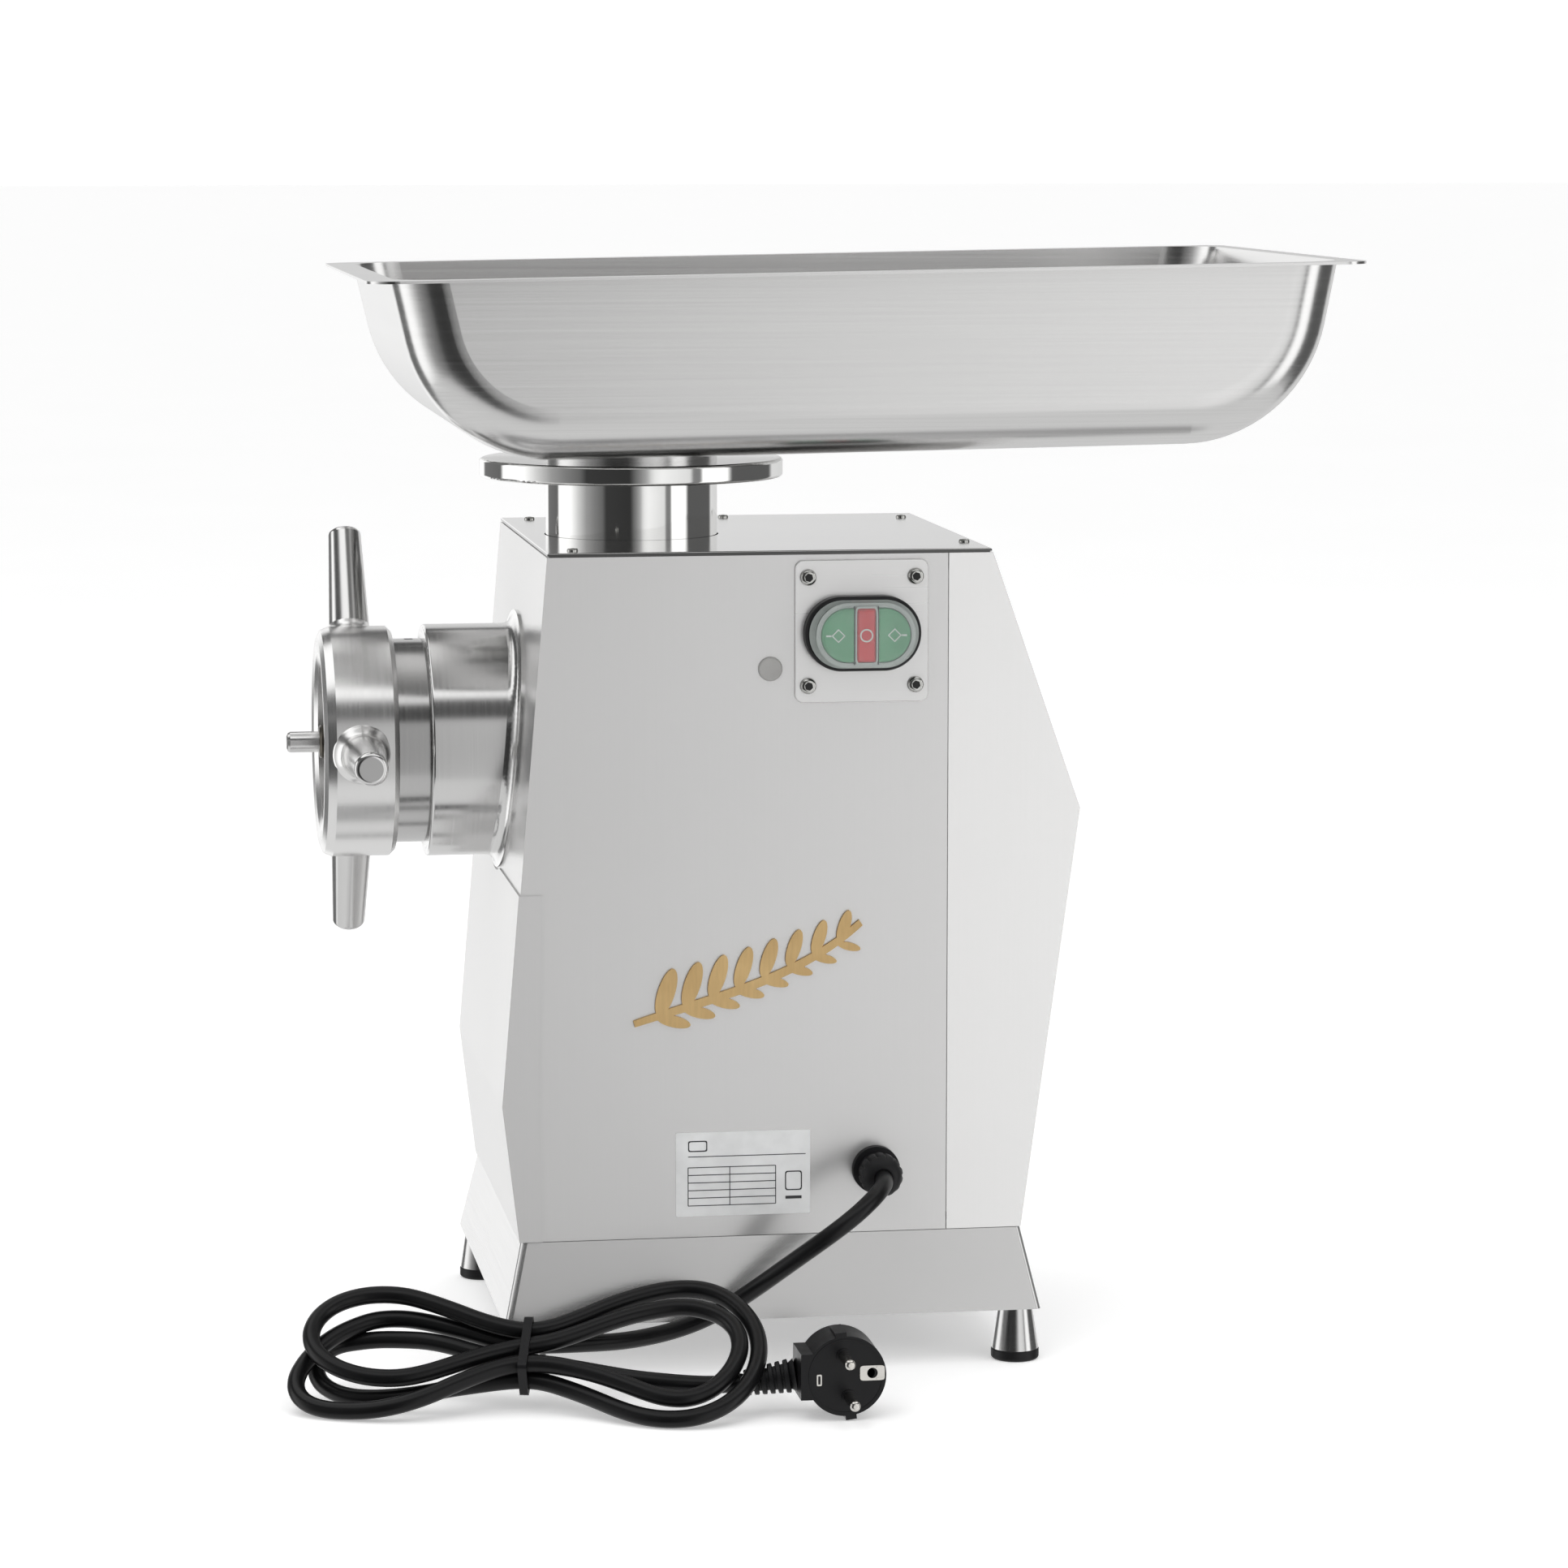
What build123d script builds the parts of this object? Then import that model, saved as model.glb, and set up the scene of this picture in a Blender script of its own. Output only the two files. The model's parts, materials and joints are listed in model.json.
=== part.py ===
from build123d import *

import math
import os

# Electric meat grinder, size 22 head: millimetres, +Z up, floor at z = 0.
# The head points along -X, the control side faces -Y, and the origin lies on the floor
# under the centre of the machine's bounding box, its mains lead left out.

# ---- driving dimensions ----------------------------------------------------
HEAD_Z = 285.0                 # height of the auger axis
THROAT_X = -78.0               # vertical axis of the feed throat
CLEAR = 0.35                   # gap between bodies that move past each other

# folded sheet housing, seen from the side as (x, z)
HALF_W = 106.8
SHEET = 1.5
TOP_Z = 382.0
TOP_T = 2.0
DECK_Z = 63.0                  # top of the plinth, where the housing starts
TOP_FRONT_X, TOP_REAR_X = -129.8, 75.9
BULGE_FRONT = (-151.4, 127.0)
BULGE_REAR = (118.2, 260.5)
DECK_FRONT_X, DECK_REAR_X = -143.8, 91.1
SEAM_X = 55.8                  # joint between the main casing and the rear cover
SEAM_GAP = 0.4
LOWER_PANEL_Z = 225.0          # top edge of the folded lower front panel
LOWER_PANEL_LAP = 10.0         # how far it laps on to each side
LOWER_PANEL_T = 0.8

# flared plinth and feet
PLINTH_FLARE = 8.5
PLINTH_Z = 25.3
FOOT_INSET = 10.5
FOOT_TOP_R, FOOT_BASE_R = 8.0, 11.3
PAD_H = 5.2
FOOT_STUD_R = 2.95

# head
BARREL_R, BARREL_BORE_R = 48.3, 39.0
BARREL_X = (-216.0, -20.5)
PLATE_R, PLATE_T = 41.0, 9.6
PLATE_SEAT_R = 41.4
PLATE_X = -219.8               # front face of the mincing plate
SLEEVE_R, SLEEVE_BORE_R = 55.0, 48.6
SLEEVE_X = (-178.2, -12.5)
COLLAR_R = 61.5
RING_X = (-228.0, -193.2)
RING_R, RING_BORE_R, RING_MOUTH_R = 54.5, 48.9, 39.5
HANDLE_X, HANDLE_TIP_R = -210.7, 110.0
HANDLE_BASE_R, HANDLE_END_R = 10.0, 7.8
AUGER_X = (-200.0, -36.0)
AUGER_R, AUGER_CORE_R = 38.0, 15.0
AUGER_PITCH = 46.0
STUD_R, STUD_TIP_X = 5.0, -242.9

# throat, hopper neck and tray
NECK_R, NECK_BORE_R = 40.8, 38.4
NECK_Z = 340.0
BRANCH_R, BRANCH_BORE_R = 46.0, 41.6
DISC_R = 72.0
DISC_Z = (409.5, 418.5)
TRAY_TILT = 0.9                # the tray drains towards the throat
TRAY_RIM_Z = 508.7             # rim height above the throat axis
TRAY_DEPTH = 83.0
TRAY_T = 1.2
TRAY_HALF_W = 138.0
TRAY_RIM_HALF_W = 150.0
TRAY_X = (-122.9, 312.8)       # pan's end walls at the rim, from the throat axis
TRAY_RIM_X = (-134.9, 320.9)   # ends of the rim, from the throat axis
TRAY_WALL_LEAN = 12.0
TRAY_END_R = 68.0
TRAY_EDGE_R = 24.0
RIM_CORNER_R = 14.0

# gear train: three shafts, one above the other
LAY_Z, MOTOR_Z = 211.25, 153.25
PRESSURE_ANGLE = 20.0
BACKLASH = 0.15
FAST_M, SLOW_M = 2.0, 2.5
MOTOR_TEETH, WHEEL_TEETH, PINION_TEETH, OUTPUT_TEETH = 14, 44, 15, 44
FAST_X = (4.0, 20.0)           # face of the motor pinion and the layshaft wheel
SLOW_X = (25.0, 47.0)          # face of the layshaft pinion and the output gear
CASE_X = (-2.0, 62.0)
CASE_HALF_W = 62.0
CASE_TOP_Z = 350.0
CASE_WALL = 8.0
COVER_X = (-12.0, -2.0)
OUTPUT_SHAFT_R, LAY_SHAFT_R, MOTOR_SHAFT_R = 15.0, 9.0, 8.0
RUNNING_FIT = 0.05

# motor under the barrel
MOTOR_X = (-112.0, -26.0)
MOTOR_R = 62.0

# controls on the near side
PANEL_X, PANEL_Z = 15.0, 344.7
PANEL_W, PANEL_H, PANEL_T, PANEL_CORNER_R = 62.0, 65.7, 1.5, 4.0
PANEL_SCREW_PITCH = 50.0
STATION_X, STATION_Z = 14.6, 344.0
BEZEL_W, BEZEL_H, BEZEL_T = 54.0, 34.5, 8.0
BOOT_W, BOOT_H, BOOT_RISE = 47.6, 31.0, 10.0
STOP_HALF_W = 4.6
CAP_X, CAP_Z, CAP_R = -27.4, 327.7, 5.6
LABEL_X, LABEL_Z = (-71.7, -8.8), (73.0, 112.5)
BADGE_X, BADGE_Z, BADGE_SLOPE = -39.7, 190.0, 14.0

# mains lead
CORD_R = 4.0
GLAND_X, GLAND_Z, GLAND_OUT = 22.0, 93.0, 23.0
HANK_AT = (-140.0, -162.5, 25.1)
HANK_TILT, HANK_YAW = 30.0, -13.0
HANK_T, HANK_WAIST = 16.6, 31.0
TIE_AT = (-7.0, -3.0)          # the waist's middle, along and across the hank
TIE_W, TIE_T = 4.0, 1.4
PLUG_X, PLUG_Z, PLUG_R = -9.0, 20.6, 18.2
PLUG_Y = (-211.0, -185.0)
PIN_R, PIN_PITCH, PIN_LEAN = 2.4, 19.0, 7.0

NEAR_Y = -HALF_W
FOOT_X = (DECK_FRONT_X - PLINTH_FLARE + FOOT_INSET, DECK_REAR_X + PLINTH_FLARE - FOOT_INSET)
FOOT_Y = HALF_W + PLINTH_FLARE - FOOT_INSET
FOOT_PLACES = [(x, y) for x in FOOT_X for y in (-FOOT_Y, FOOT_Y)]


# ---- shared shapes -----------------------------------------------------------
def outline(plane, points):
    """A flat face with straight edges through the points."""
    with BuildSketch(plane) as face:
        with BuildLine():
            Polyline(points, close=True)
        make_face()
    return face.sketch


def turned(z, points):
    """A solid of revolution about the X line at height z; points are (x, radius)."""
    with BuildPart() as solid:
        revolve(outline(Plane.XZ, [(x, z + r) for x, r in points]), axis=Axis((0, 0, z), (1, 0, 0)))
    return solid.part


def tube(z, x0, x1, outer, inner=0.0):
    """A plain cylinder or tube along X at height z."""
    return turned(z, [(x0, inner), (x1, inner), (x1, outer), (x0, outer)])


def upright(x, y, z0, z1, outer, inner=0.0):
    """A plain cylinder or tube along Z."""
    with BuildPart() as solid:
        with BuildSketch(Plane((x, y, z0))):
            Circle(outer)
            if inner:
                Circle(inner, mode=Mode.SUBTRACT)
        extrude(amount=z1 - z0)
    return solid.part


def across(x, z, y0, y1, outer, inner=0.0):
    """A plain cylinder or tube along Y."""
    with BuildPart() as solid:
        with BuildSketch(Plane((x, y0, z), x_dir=(1, 0, 0), z_dir=(0, 1, 0))):
            Circle(outer)
            if inner:
                Circle(inner, mode=Mode.SUBTRACT)
        extrude(amount=y1 - y0)
    return solid.part


def block(low, high):
    """A plain box between two corners."""
    size = [b - a for a, b in zip(low, high)]
    with BuildPart(Plane(tuple((a + b) / 2 for a, b in zip(low, high)))) as solid:
        Box(*size)
    return solid.part


def save(solid, node):
    """Labels a finished piece and writes it."""
    solid.part.label = node
    export_step(solid.part, f"parts/{node}.step")


def front_x(z):
    """The housing's front face at a height above the front bulge."""
    share = (z - BULGE_FRONT[1]) / (TOP_Z - BULGE_FRONT[1])
    return BULGE_FRONT[0] + share * (TOP_FRONT_X - BULGE_FRONT[0])


def housing_profile(inset=0.0):
    """The six-sided side view of the housing, inset by a wall thickness."""
    face = outline(Plane.XZ, [
        (DECK_FRONT_X, DECK_Z), BULGE_FRONT, (TOP_FRONT_X, TOP_Z),
        (TOP_REAR_X, TOP_Z), BULGE_REAR, (DECK_REAR_X, DECK_Z)])
    if inset:
        face = offset(face, amount=-inset, kind=Kind.INTERSECTION)
    return face


def housing_shell():
    """The folded sheet skin, open above and below."""
    with BuildPart() as shell:
        extrude(housing_profile(), amount=HALF_W, both=True)
        extrude(housing_profile(SHEET), amount=HALF_W - SHEET, both=True, mode=Mode.SUBTRACT)
        add(block((-200, -150, TOP_Z - TOP_T), (200, 150, TOP_Z + 5)), mode=Mode.SUBTRACT)
        add(block((-200, -150, DECK_Z - 5), (200, 150, DECK_Z + 0.3)), mode=Mode.SUBTRACT)
        add(block((DECK_FRONT_X + SHEET, SHEET - HALF_W, DECK_Z),
                  (DECK_REAR_X - SHEET, HALF_W - SHEET, DECK_Z + 5)), mode=Mode.SUBTRACT)
    return shell.part


def gear(plane, teeth, module, face_width, tooth_angle, bore):
    """A spur gear with stub involute teeth, one tooth centred on tooth_angle degrees."""
    pressure = math.radians(PRESSURE_ANGLE)
    pitch_r = teeth * module / 2
    base_r = pitch_r * math.cos(pressure)
    tip_r = pitch_r + 0.8 * module
    root_r = pitch_r - 1.05 * module
    half_pitch = (math.pi * module / 2 - BACKLASH) / (2 * pitch_r)
    start_r = max(base_r, root_r)
    radii = [start_r + (tip_r - start_r) * (k / 4) ** 0.8 for k in range(5)]

    def half_angle(radius):
        roll = math.acos(min(1.0, base_r / radius))
        return half_pitch + math.tan(pressure) - pressure - math.tan(roll) + roll

    flank = [(r, half_angle(r)) for r in radii]
    if root_r < base_r:
        flank.insert(0, (root_r, half_angle(base_r)))
    tooth = [(r, -a) for r, a in flank] + [(r, a) for r, a in reversed(flank)]
    points = []
    for index in range(teeth):
        centre = math.radians(tooth_angle) + 2 * math.pi * index / teeth
        points += [(r * math.cos(centre + a), r * math.sin(centre + a)) for r, a in tooth]
    with BuildPart() as wheel:
        extrude(outline(plane, points), amount=face_width)
        with BuildSketch(plane):
            Circle(bore)
        extrude(amount=face_width, mode=Mode.SUBTRACT)
    return wheel.part


def gear_plane(x, z):
    """A plane across a shaft, with its first axis along +Y and its second along +Z."""
    return Plane((x, 0, z), x_dir=(0, 1, 0), z_dir=(1, 0, 0))


def bearing(z, x0, x1, outer, bore):
    """A deep-groove bearing drawn as one ring with a shallow groove in each face."""
    mid, dip = (outer + bore) / 2, 0.6
    land = (outer - bore) * 0.18
    return turned(z, [
        (x0, bore), (x1, bore), (x1, mid - land), (x1 - dip, mid - land), (x1 - dip, mid + land),
        (x1, mid + land), (x1, outer), (x0, outer), (x0, mid + land), (x0 + dip, mid + land),
        (x0 + dip, mid - land), (x0, mid - land)])


def cap_screw(x, y, z, head_r, head_h, stem_r, stem_l, direction):
    """A domed screw: the head stands out along direction from (x, y, z), the stem goes in."""
    plane = Plane((x, y, z), z_dir=direction)
    with BuildPart() as screw:
        with BuildSketch(plane):
            Circle(head_r)
        extrude(amount=head_h)
        fillet(screw.edges().filter_by(GeomType.CIRCLE).sort_by(Axis((x, y, z), direction))[-1],
               radius=min(head_h, head_r) * 0.75)
        with BuildSketch(plane.offset(head_h)):
            RegularPolygon(head_r * 0.42, 6)
        extrude(amount=-head_h * 0.7, mode=Mode.SUBTRACT)
        if stem_l:
            with BuildSketch(plane):
                Circle(stem_r)
            extrude(amount=-stem_l)
    return screw.part


def oval(plane, width, height, inset=0.0):
    """The station's oval outline: straight top and bottom, round ends."""
    with BuildSketch(plane) as face:
        SlotOverall(width - 2 * inset, height - 2 * inset)
    return face.sketch


os.makedirs("parts", exist_ok=True)

# ---- plinth, base plate and feet -----------------------------------------------
def plinth_block(inset, z0, z1):
    """The flared block of the plinth between two heights, inset by a wall."""
    def level(z):
        grow = PLINTH_FLARE * (DECK_Z - z) / (DECK_Z - PLINTH_Z) - inset
        with BuildSketch(Plane(((DECK_FRONT_X + DECK_REAR_X) / 2, 0, z))) as face:
            RectangleRounded(DECK_REAR_X - DECK_FRONT_X + 2 * grow, 2 * HALF_W + 2 * grow, 3.0)
        return face.sketch
    with BuildPart() as solid:
        loft([level(z0), level(z1)])
    return solid.part


with BuildPart() as plinth:
    add(plinth_block(0.0, PLINTH_Z, DECK_Z))
    add(plinth_block(2.0, PLINTH_Z + 2.0, DECK_Z - 2.0), mode=Mode.SUBTRACT)
    add(block((-118, -82, PLINTH_Z - 1), (66, 82, PLINTH_Z + 3)), mode=Mode.SUBTRACT)
    add(block((-126, -90, DECK_Z - 3), (74, 90, DECK_Z + 1)), mode=Mode.SUBTRACT)
    for x, y in FOOT_PLACES:
        add(upright(x, y, PLINTH_Z - 1, PLINTH_Z + 3, 3.2), mode=Mode.SUBTRACT)
save(plinth, "plinth")

with BuildPart() as base_plate:
    with BuildSketch(Plane(((DECK_FRONT_X + DECK_REAR_X) / 2, 0, DECK_Z))):
        RectangleRounded(DECK_REAR_X - DECK_FRONT_X - 4, 2 * HALF_W - 4, 4)
    extrude(amount=4.0)
    with BuildSketch(Plane((-78, 0, DECK_Z))):
        with GridLocations(0, 22, 1, 5):
            SlotOverall(60, 8)
    extrude(amount=4.0, mode=Mode.SUBTRACT)
save(base_plate, "base_plate")

with BuildPart() as foot_cups:
    for x, y in FOOT_PLACES:
        with BuildSketch(Plane((x, y, PAD_H))):
            Circle(FOOT_BASE_R - 0.3)
        with BuildSketch(Plane((x, y, PLINTH_Z))):
            Circle(FOOT_TOP_R)
        loft()
        add(upright(x, y, PLINTH_Z, PLINTH_Z + 12.0, FOOT_STUD_R))
save(foot_cups, "foot_cups")

with BuildPart() as foot_pads:
    for x, y in FOOT_PLACES:
        with BuildSketch(Plane((x, y, 0))):
            Circle(FOOT_BASE_R)
        extrude(amount=PAD_H)
    fillet(foot_pads.edges().filter_by(GeomType.CIRCLE).group_by(Axis.Z)[0], radius=1.6)
    fillet(foot_pads.edges().filter_by(GeomType.CIRCLE).group_by(Axis.Z)[-1], radius=0.7)
save(foot_pads, "foot_pads")

# ---- housing -------------------------------------------------------------------
SLEEVE_HOLE_R = SLEEVE_R + 0.2
with BuildPart() as main_casing:
    add(housing_shell())
    add(block((SEAM_X - SEAM_GAP, -150, 0), (300, 150, 500)), mode=Mode.SUBTRACT)
    add(tube(HEAD_Z, -200, -100, SLEEVE_HOLE_R), mode=Mode.SUBTRACT)
    with BuildSketch(Plane((STATION_X, NEAR_Y - 1, STATION_Z), x_dir=(1, 0, 0), z_dir=(0, 1, 0))):
        SlotOverall(BOOT_W - 3, BOOT_H - 3)
    extrude(amount=5, mode=Mode.SUBTRACT)
    add(across(GLAND_X, GLAND_Z, NEAR_Y - 1, NEAR_Y + 5, 8.2), mode=Mode.SUBTRACT)
    add(across(CAP_X, CAP_Z, NEAR_Y - 1, NEAR_Y + 5, 4.2), mode=Mode.SUBTRACT)
    for side in (-1, 1):
        y0, y1 = sorted((side * (HALF_W - SHEET), side * (HALF_W - 14)))
        add(block((TOP_FRONT_X + 2, y0, TOP_Z - TOP_T - SHEET),
                  (SEAM_X - SEAM_GAP, y1, TOP_Z - TOP_T)))
save(main_casing, "main_casing")

with BuildPart() as rear_cover:
    add(housing_shell())
    add(block((-300, -150, 0), (SEAM_X, 150, 500)), mode=Mode.SUBTRACT)
    with BuildSketch(Plane((100, 0, 160), x_dir=(0, 1, 0), z_dir=(1, 0, 0))):
        with GridLocations(0, 12, 1, 7):
            SlotOverall(70, 4.5)
    extrude(amount=40, both=True, mode=Mode.SUBTRACT)
    for side in (-1, 1):
        y0, y1 = sorted((side * (HALF_W - SHEET - 0.1), side * (HALF_W - 2 * SHEET - 0.1)))
        add(block((SEAM_X - 9, y0, DECK_Z + 8), (SEAM_X + 1.5, y1, TOP_Z - 10)))
        y0, y1 = sorted((side * (HALF_W - SHEET), side * (HALF_W - 2 * SHEET - 0.1)))
        add(block((SEAM_X, y0, DECK_Z + 8), (SEAM_X + 1.5, y1, TOP_Z - 10)))
save(rear_cover, "rear_cover")

SCREW_SPOTS = [(TOP_FRONT_X + 13, 94), (-20.7, 92.5), (66.3, 79.0),
               (TOP_FRONT_X + 13, -94), (69.8, -69.9)]
with BuildPart() as top_plate:
    with BuildSketch(Plane(((TOP_FRONT_X + TOP_REAR_X) / 2, 0, TOP_Z - TOP_T))):
        Rectangle(TOP_REAR_X - TOP_FRONT_X, 2 * HALF_W)
    extrude(amount=TOP_T)
    with BuildSketch(Plane(((TOP_FRONT_X + TOP_REAR_X) / 2, 0, TOP_Z - TOP_T))):
        Rectangle(TOP_REAR_X - TOP_FRONT_X, 2 * HALF_W)
        Rectangle(TOP_REAR_X - TOP_FRONT_X - 1.6, 2 * HALF_W - 1.6, mode=Mode.SUBTRACT)
    extrude(amount=0.7, mode=Mode.SUBTRACT)
    fillet(top_plate.edges().group_by(Axis.Z)[-1], radius=0.8)
    add(upright(THROAT_X, 0, TOP_Z - 5, TOP_Z + 5, NECK_R + 0.6), mode=Mode.SUBTRACT)
    for x, y in SCREW_SPOTS:
        add(upright(x, y, TOP_Z - 5, TOP_Z + 5, 1.6), mode=Mode.SUBTRACT)
save(top_plate, "top_plate")


def lower_band(inset):
    """The part of the housing's side view that the lower front panel wraps."""
    with BuildSketch(Plane.XZ) as face:
        add(housing_profile(inset))
        add(outline(Plane.XZ, [
            (-400, DECK_Z + 0.3), (DECK_FRONT_X + LOWER_PANEL_LAP, DECK_Z + 0.3),
            (BULGE_FRONT[0] + LOWER_PANEL_LAP + 6.5, BULGE_FRONT[1]),
            (front_x(LOWER_PANEL_Z) + LOWER_PANEL_LAP, LOWER_PANEL_Z), (-400, LOWER_PANEL_Z)]),
            mode=Mode.INTERSECT)
    return face.sketch


with BuildPart() as lower_front_panel:
    extrude(lower_band(-LOWER_PANEL_T), amount=HALF_W + LOWER_PANEL_T, both=True)
    extrude(housing_profile(), amount=HALF_W, both=True, mode=Mode.SUBTRACT)
    add(tube(HEAD_Z, -200, -100, COLLAR_R + 1.0), mode=Mode.SUBTRACT)
save(lower_front_panel, "lower_front_panel")

# ---- receiver, barrel and ring nut -----------------------------------------------
FRONT_LEAN = math.degrees(math.atan2(TOP_FRONT_X - BULGE_FRONT[0], TOP_Z - BULGE_FRONT[1]))
FRONT_NORMAL = Vector(-math.cos(math.radians(FRONT_LEAN)), 0, math.sin(math.radians(FRONT_LEAN)))
with BuildPart() as receiver_sleeve:
    with BuildSketch(Plane((front_x(HEAD_Z), 0, HEAD_Z), x_dir=(0, 1, 0), z_dir=FRONT_NORMAL)):
        Circle(COLLAR_R)
    extrude(amount=1.2)
    add(tube(HEAD_Z, SLEEVE_X[0], SLEEVE_X[1], SLEEVE_R))
    fillet(receiver_sleeve.edges().filter_by(GeomType.ELLIPSE).sort_by(Axis.X)[0], radius=5.5)
    add(upright(THROAT_X, 0, HEAD_Z, TOP_Z - TOP_T - 0.2, BRANCH_R))
    add(upright(THROAT_X, 0, HEAD_Z, TOP_Z, BRANCH_BORE_R), mode=Mode.SUBTRACT)
    add(tube(HEAD_Z, SLEEVE_X[0] - 1, BARREL_X[1] + 0.1, SLEEVE_BORE_R), mode=Mode.SUBTRACT)
    add(tube(HEAD_Z, -60, 20, 26.0), mode=Mode.SUBTRACT)
    chamfer(receiver_sleeve.edges().filter_by(GeomType.CIRCLE).group_by(Axis.X)[0]
            .sort_by(SortBy.RADIUS)[0], length=3.2)
    fillet(receiver_sleeve.edges().filter_by(GeomType.CIRCLE).group_by(Axis.X)[0]
           .sort_by(SortBy.RADIUS)[-1], radius=1.4)
save(receiver_sleeve, "receiver_sleeve")

with BuildPart() as grinding_barrel:
    add(turned(HEAD_Z, [
        (BARREL_X[0], PLATE_SEAT_R), (AUGER_X[0] + 2.6, PLATE_SEAT_R),
        (AUGER_X[0] + 2.6, BARREL_BORE_R), (-31.0, BARREL_BORE_R), (-31.0, 21.0),
        (BARREL_X[1], 21.0), (BARREL_X[1], BARREL_R - 0.1), (RING_X[1] + 14.0, BARREL_R - 0.1),
        (RING_X[1] + 14.0, BARREL_R), (RING_X[1] - 1.0, BARREL_R), (RING_X[1] - 2.0, BARREL_R - 1.2),
        (BARREL_X[0] + 1.5, BARREL_R - 1.2), (BARREL_X[0], BARREL_R - 2.7)]))
    add(upright(THROAT_X, 0, HEAD_Z, HEAD_Z + 80, NECK_BORE_R - 2), mode=Mode.SUBTRACT)
    add(block((RING_X[1] + 6.5, -2, HEAD_Z + BARREL_R - 2), (RING_X[1] + 10.5, 2, HEAD_Z + 60)),
        mode=Mode.SUBTRACT)
save(grinding_barrel, "grinding_barrel")

with BuildPart() as mincing_plate:
    add(tube(HEAD_Z, PLATE_X, PLATE_X + PLATE_T, PLATE_R, 8.0))
    for ring, holes in ((13.2, 10), (19.6, 16), (26.0, 21), (32.4, 27)):
        with BuildSketch(gear_plane(PLATE_X - 1, HEAD_Z)):
            with PolarLocations(ring, holes):
                Circle(2.45)
        extrude(amount=PLATE_T + 2, mode=Mode.SUBTRACT)
    chamfer(mincing_plate.edges().filter_by(GeomType.CIRCLE).group_by(SortBy.RADIUS)[-1], length=0.6)
save(mincing_plate, "mincing_plate")

with BuildPart() as plate_bush:
    add(turned(HEAD_Z, [(RING_X[0] + 0.5, STUD_R + 0.3), (PLATE_X + PLATE_T, STUD_R + 0.3),
                        (PLATE_X + PLATE_T, 7.98), (RING_X[0] + 1.5, 7.98), (RING_X[0] + 0.5, 7.0)]))
save(plate_bush, "plate_bush")

with BuildPart() as ring_nut:
    add(turned(HEAD_Z, [
        (RING_X[0] + 2.6, RING_MOUTH_R), (PLATE_X - 0.02, RING_MOUTH_R), (PLATE_X - 0.02, RING_BORE_R),
        (RING_X[1], RING_BORE_R), (RING_X[1], RING_R - 2.4), (RING_X[1] - 2.4, RING_R),
        (RING_X[0] + 5.5, RING_R), (RING_X[0] + 1.6, RING_R - 1.6), (RING_X[0], RING_R - 5.5),
        (RING_X[0], RING_MOUTH_R + 6.5), (RING_X[0] + 0.8, RING_MOUTH_R + 3.0)]))
save(ring_nut, "ring_nut")


def handle(angle):
    """One tapered ring-nut handle, standing out from the ring at an angle from -Y."""
    turn = math.radians(angle)
    outward = Vector(0, -math.cos(turn), math.sin(turn))
    centre = Vector(HANDLE_X, 0, HEAD_Z)
    with BuildPart() as bar:
        with BuildSketch(Plane(centre + outward * (RING_BORE_R + 2.5), z_dir=outward)):
            Circle(HANDLE_BASE_R)
        with BuildSketch(Plane(centre + outward * HANDLE_TIP_R, z_dir=outward)):
            Circle(HANDLE_END_R)
        loft()
        fillet(bar.edges().filter_by(GeomType.CIRCLE).sort_by(Axis(tuple(centre), outward))[-1],
               radius=2.4)
        add(tube(HEAD_Z, RING_X[0] - 1, RING_X[1] + 1, RING_R), mode=Mode.SUBTRACT)
    return bar.part


with BuildPart() as ring_handles:
    for angle in (0, 120, 240):
        add(handle(angle))
save(ring_handles, "ring_handles")

# ---- auger, knife and stud ---------------------------------------------------------
FLIGHT_T, FLIGHT_ROOT_R, FLIGHT_MID_R = 5.0, 13.0, 21.0
FLIGHT_X = (AUGER_X[0] + 9.0, AUGER_X[1] - 16.0)
with BuildPart() as auger:
    with BuildSketch(gear_plane(AUGER_X[0], HEAD_Z)):
        Circle(AUGER_CORE_R)
    extrude(amount=AUGER_X[1] - AUGER_X[0])
    with BuildLine() as flight_path:
        Helix(AUGER_PITCH, FLIGHT_X[1] - FLIGHT_X[0], FLIGHT_MID_R,
              center=(FLIGHT_X[0], 0, HEAD_Z), direction=(1, 0, 0))
    start = flight_path.line @ 0
    spoke = Vector(0, start.Y, start.Z - HEAD_Z).normalized()
    with BuildSketch(Plane(start, x_dir=spoke, z_dir=Vector(1, 0, 0).cross(spoke))):
        root, tip = FLIGHT_ROOT_R - FLIGHT_MID_R, AUGER_R - FLIGHT_MID_R
        with BuildLine():
            Polyline([(root, -FLIGHT_T / 2 - 1), (root, FLIGHT_T / 2 + 1),
                      (tip, FLIGHT_T / 2 - 1), (tip, -FLIGHT_T / 2 + 1)], close=True)
        make_face()
    sweep(path=flight_path.line, is_frenet=True)
    add(tube(HEAD_Z, AUGER_X[0], AUGER_X[0] + 4.0, 17.0, AUGER_CORE_R - 2))
    add(turned(HEAD_Z, [(AUGER_X[1], AUGER_CORE_R - 2), (AUGER_X[1], 18.0), (AUGER_X[1] - 4, 18.0),
                        (AUGER_X[1] - 9, AUGER_CORE_R - 2)]))
save(auger, "auger")

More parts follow.
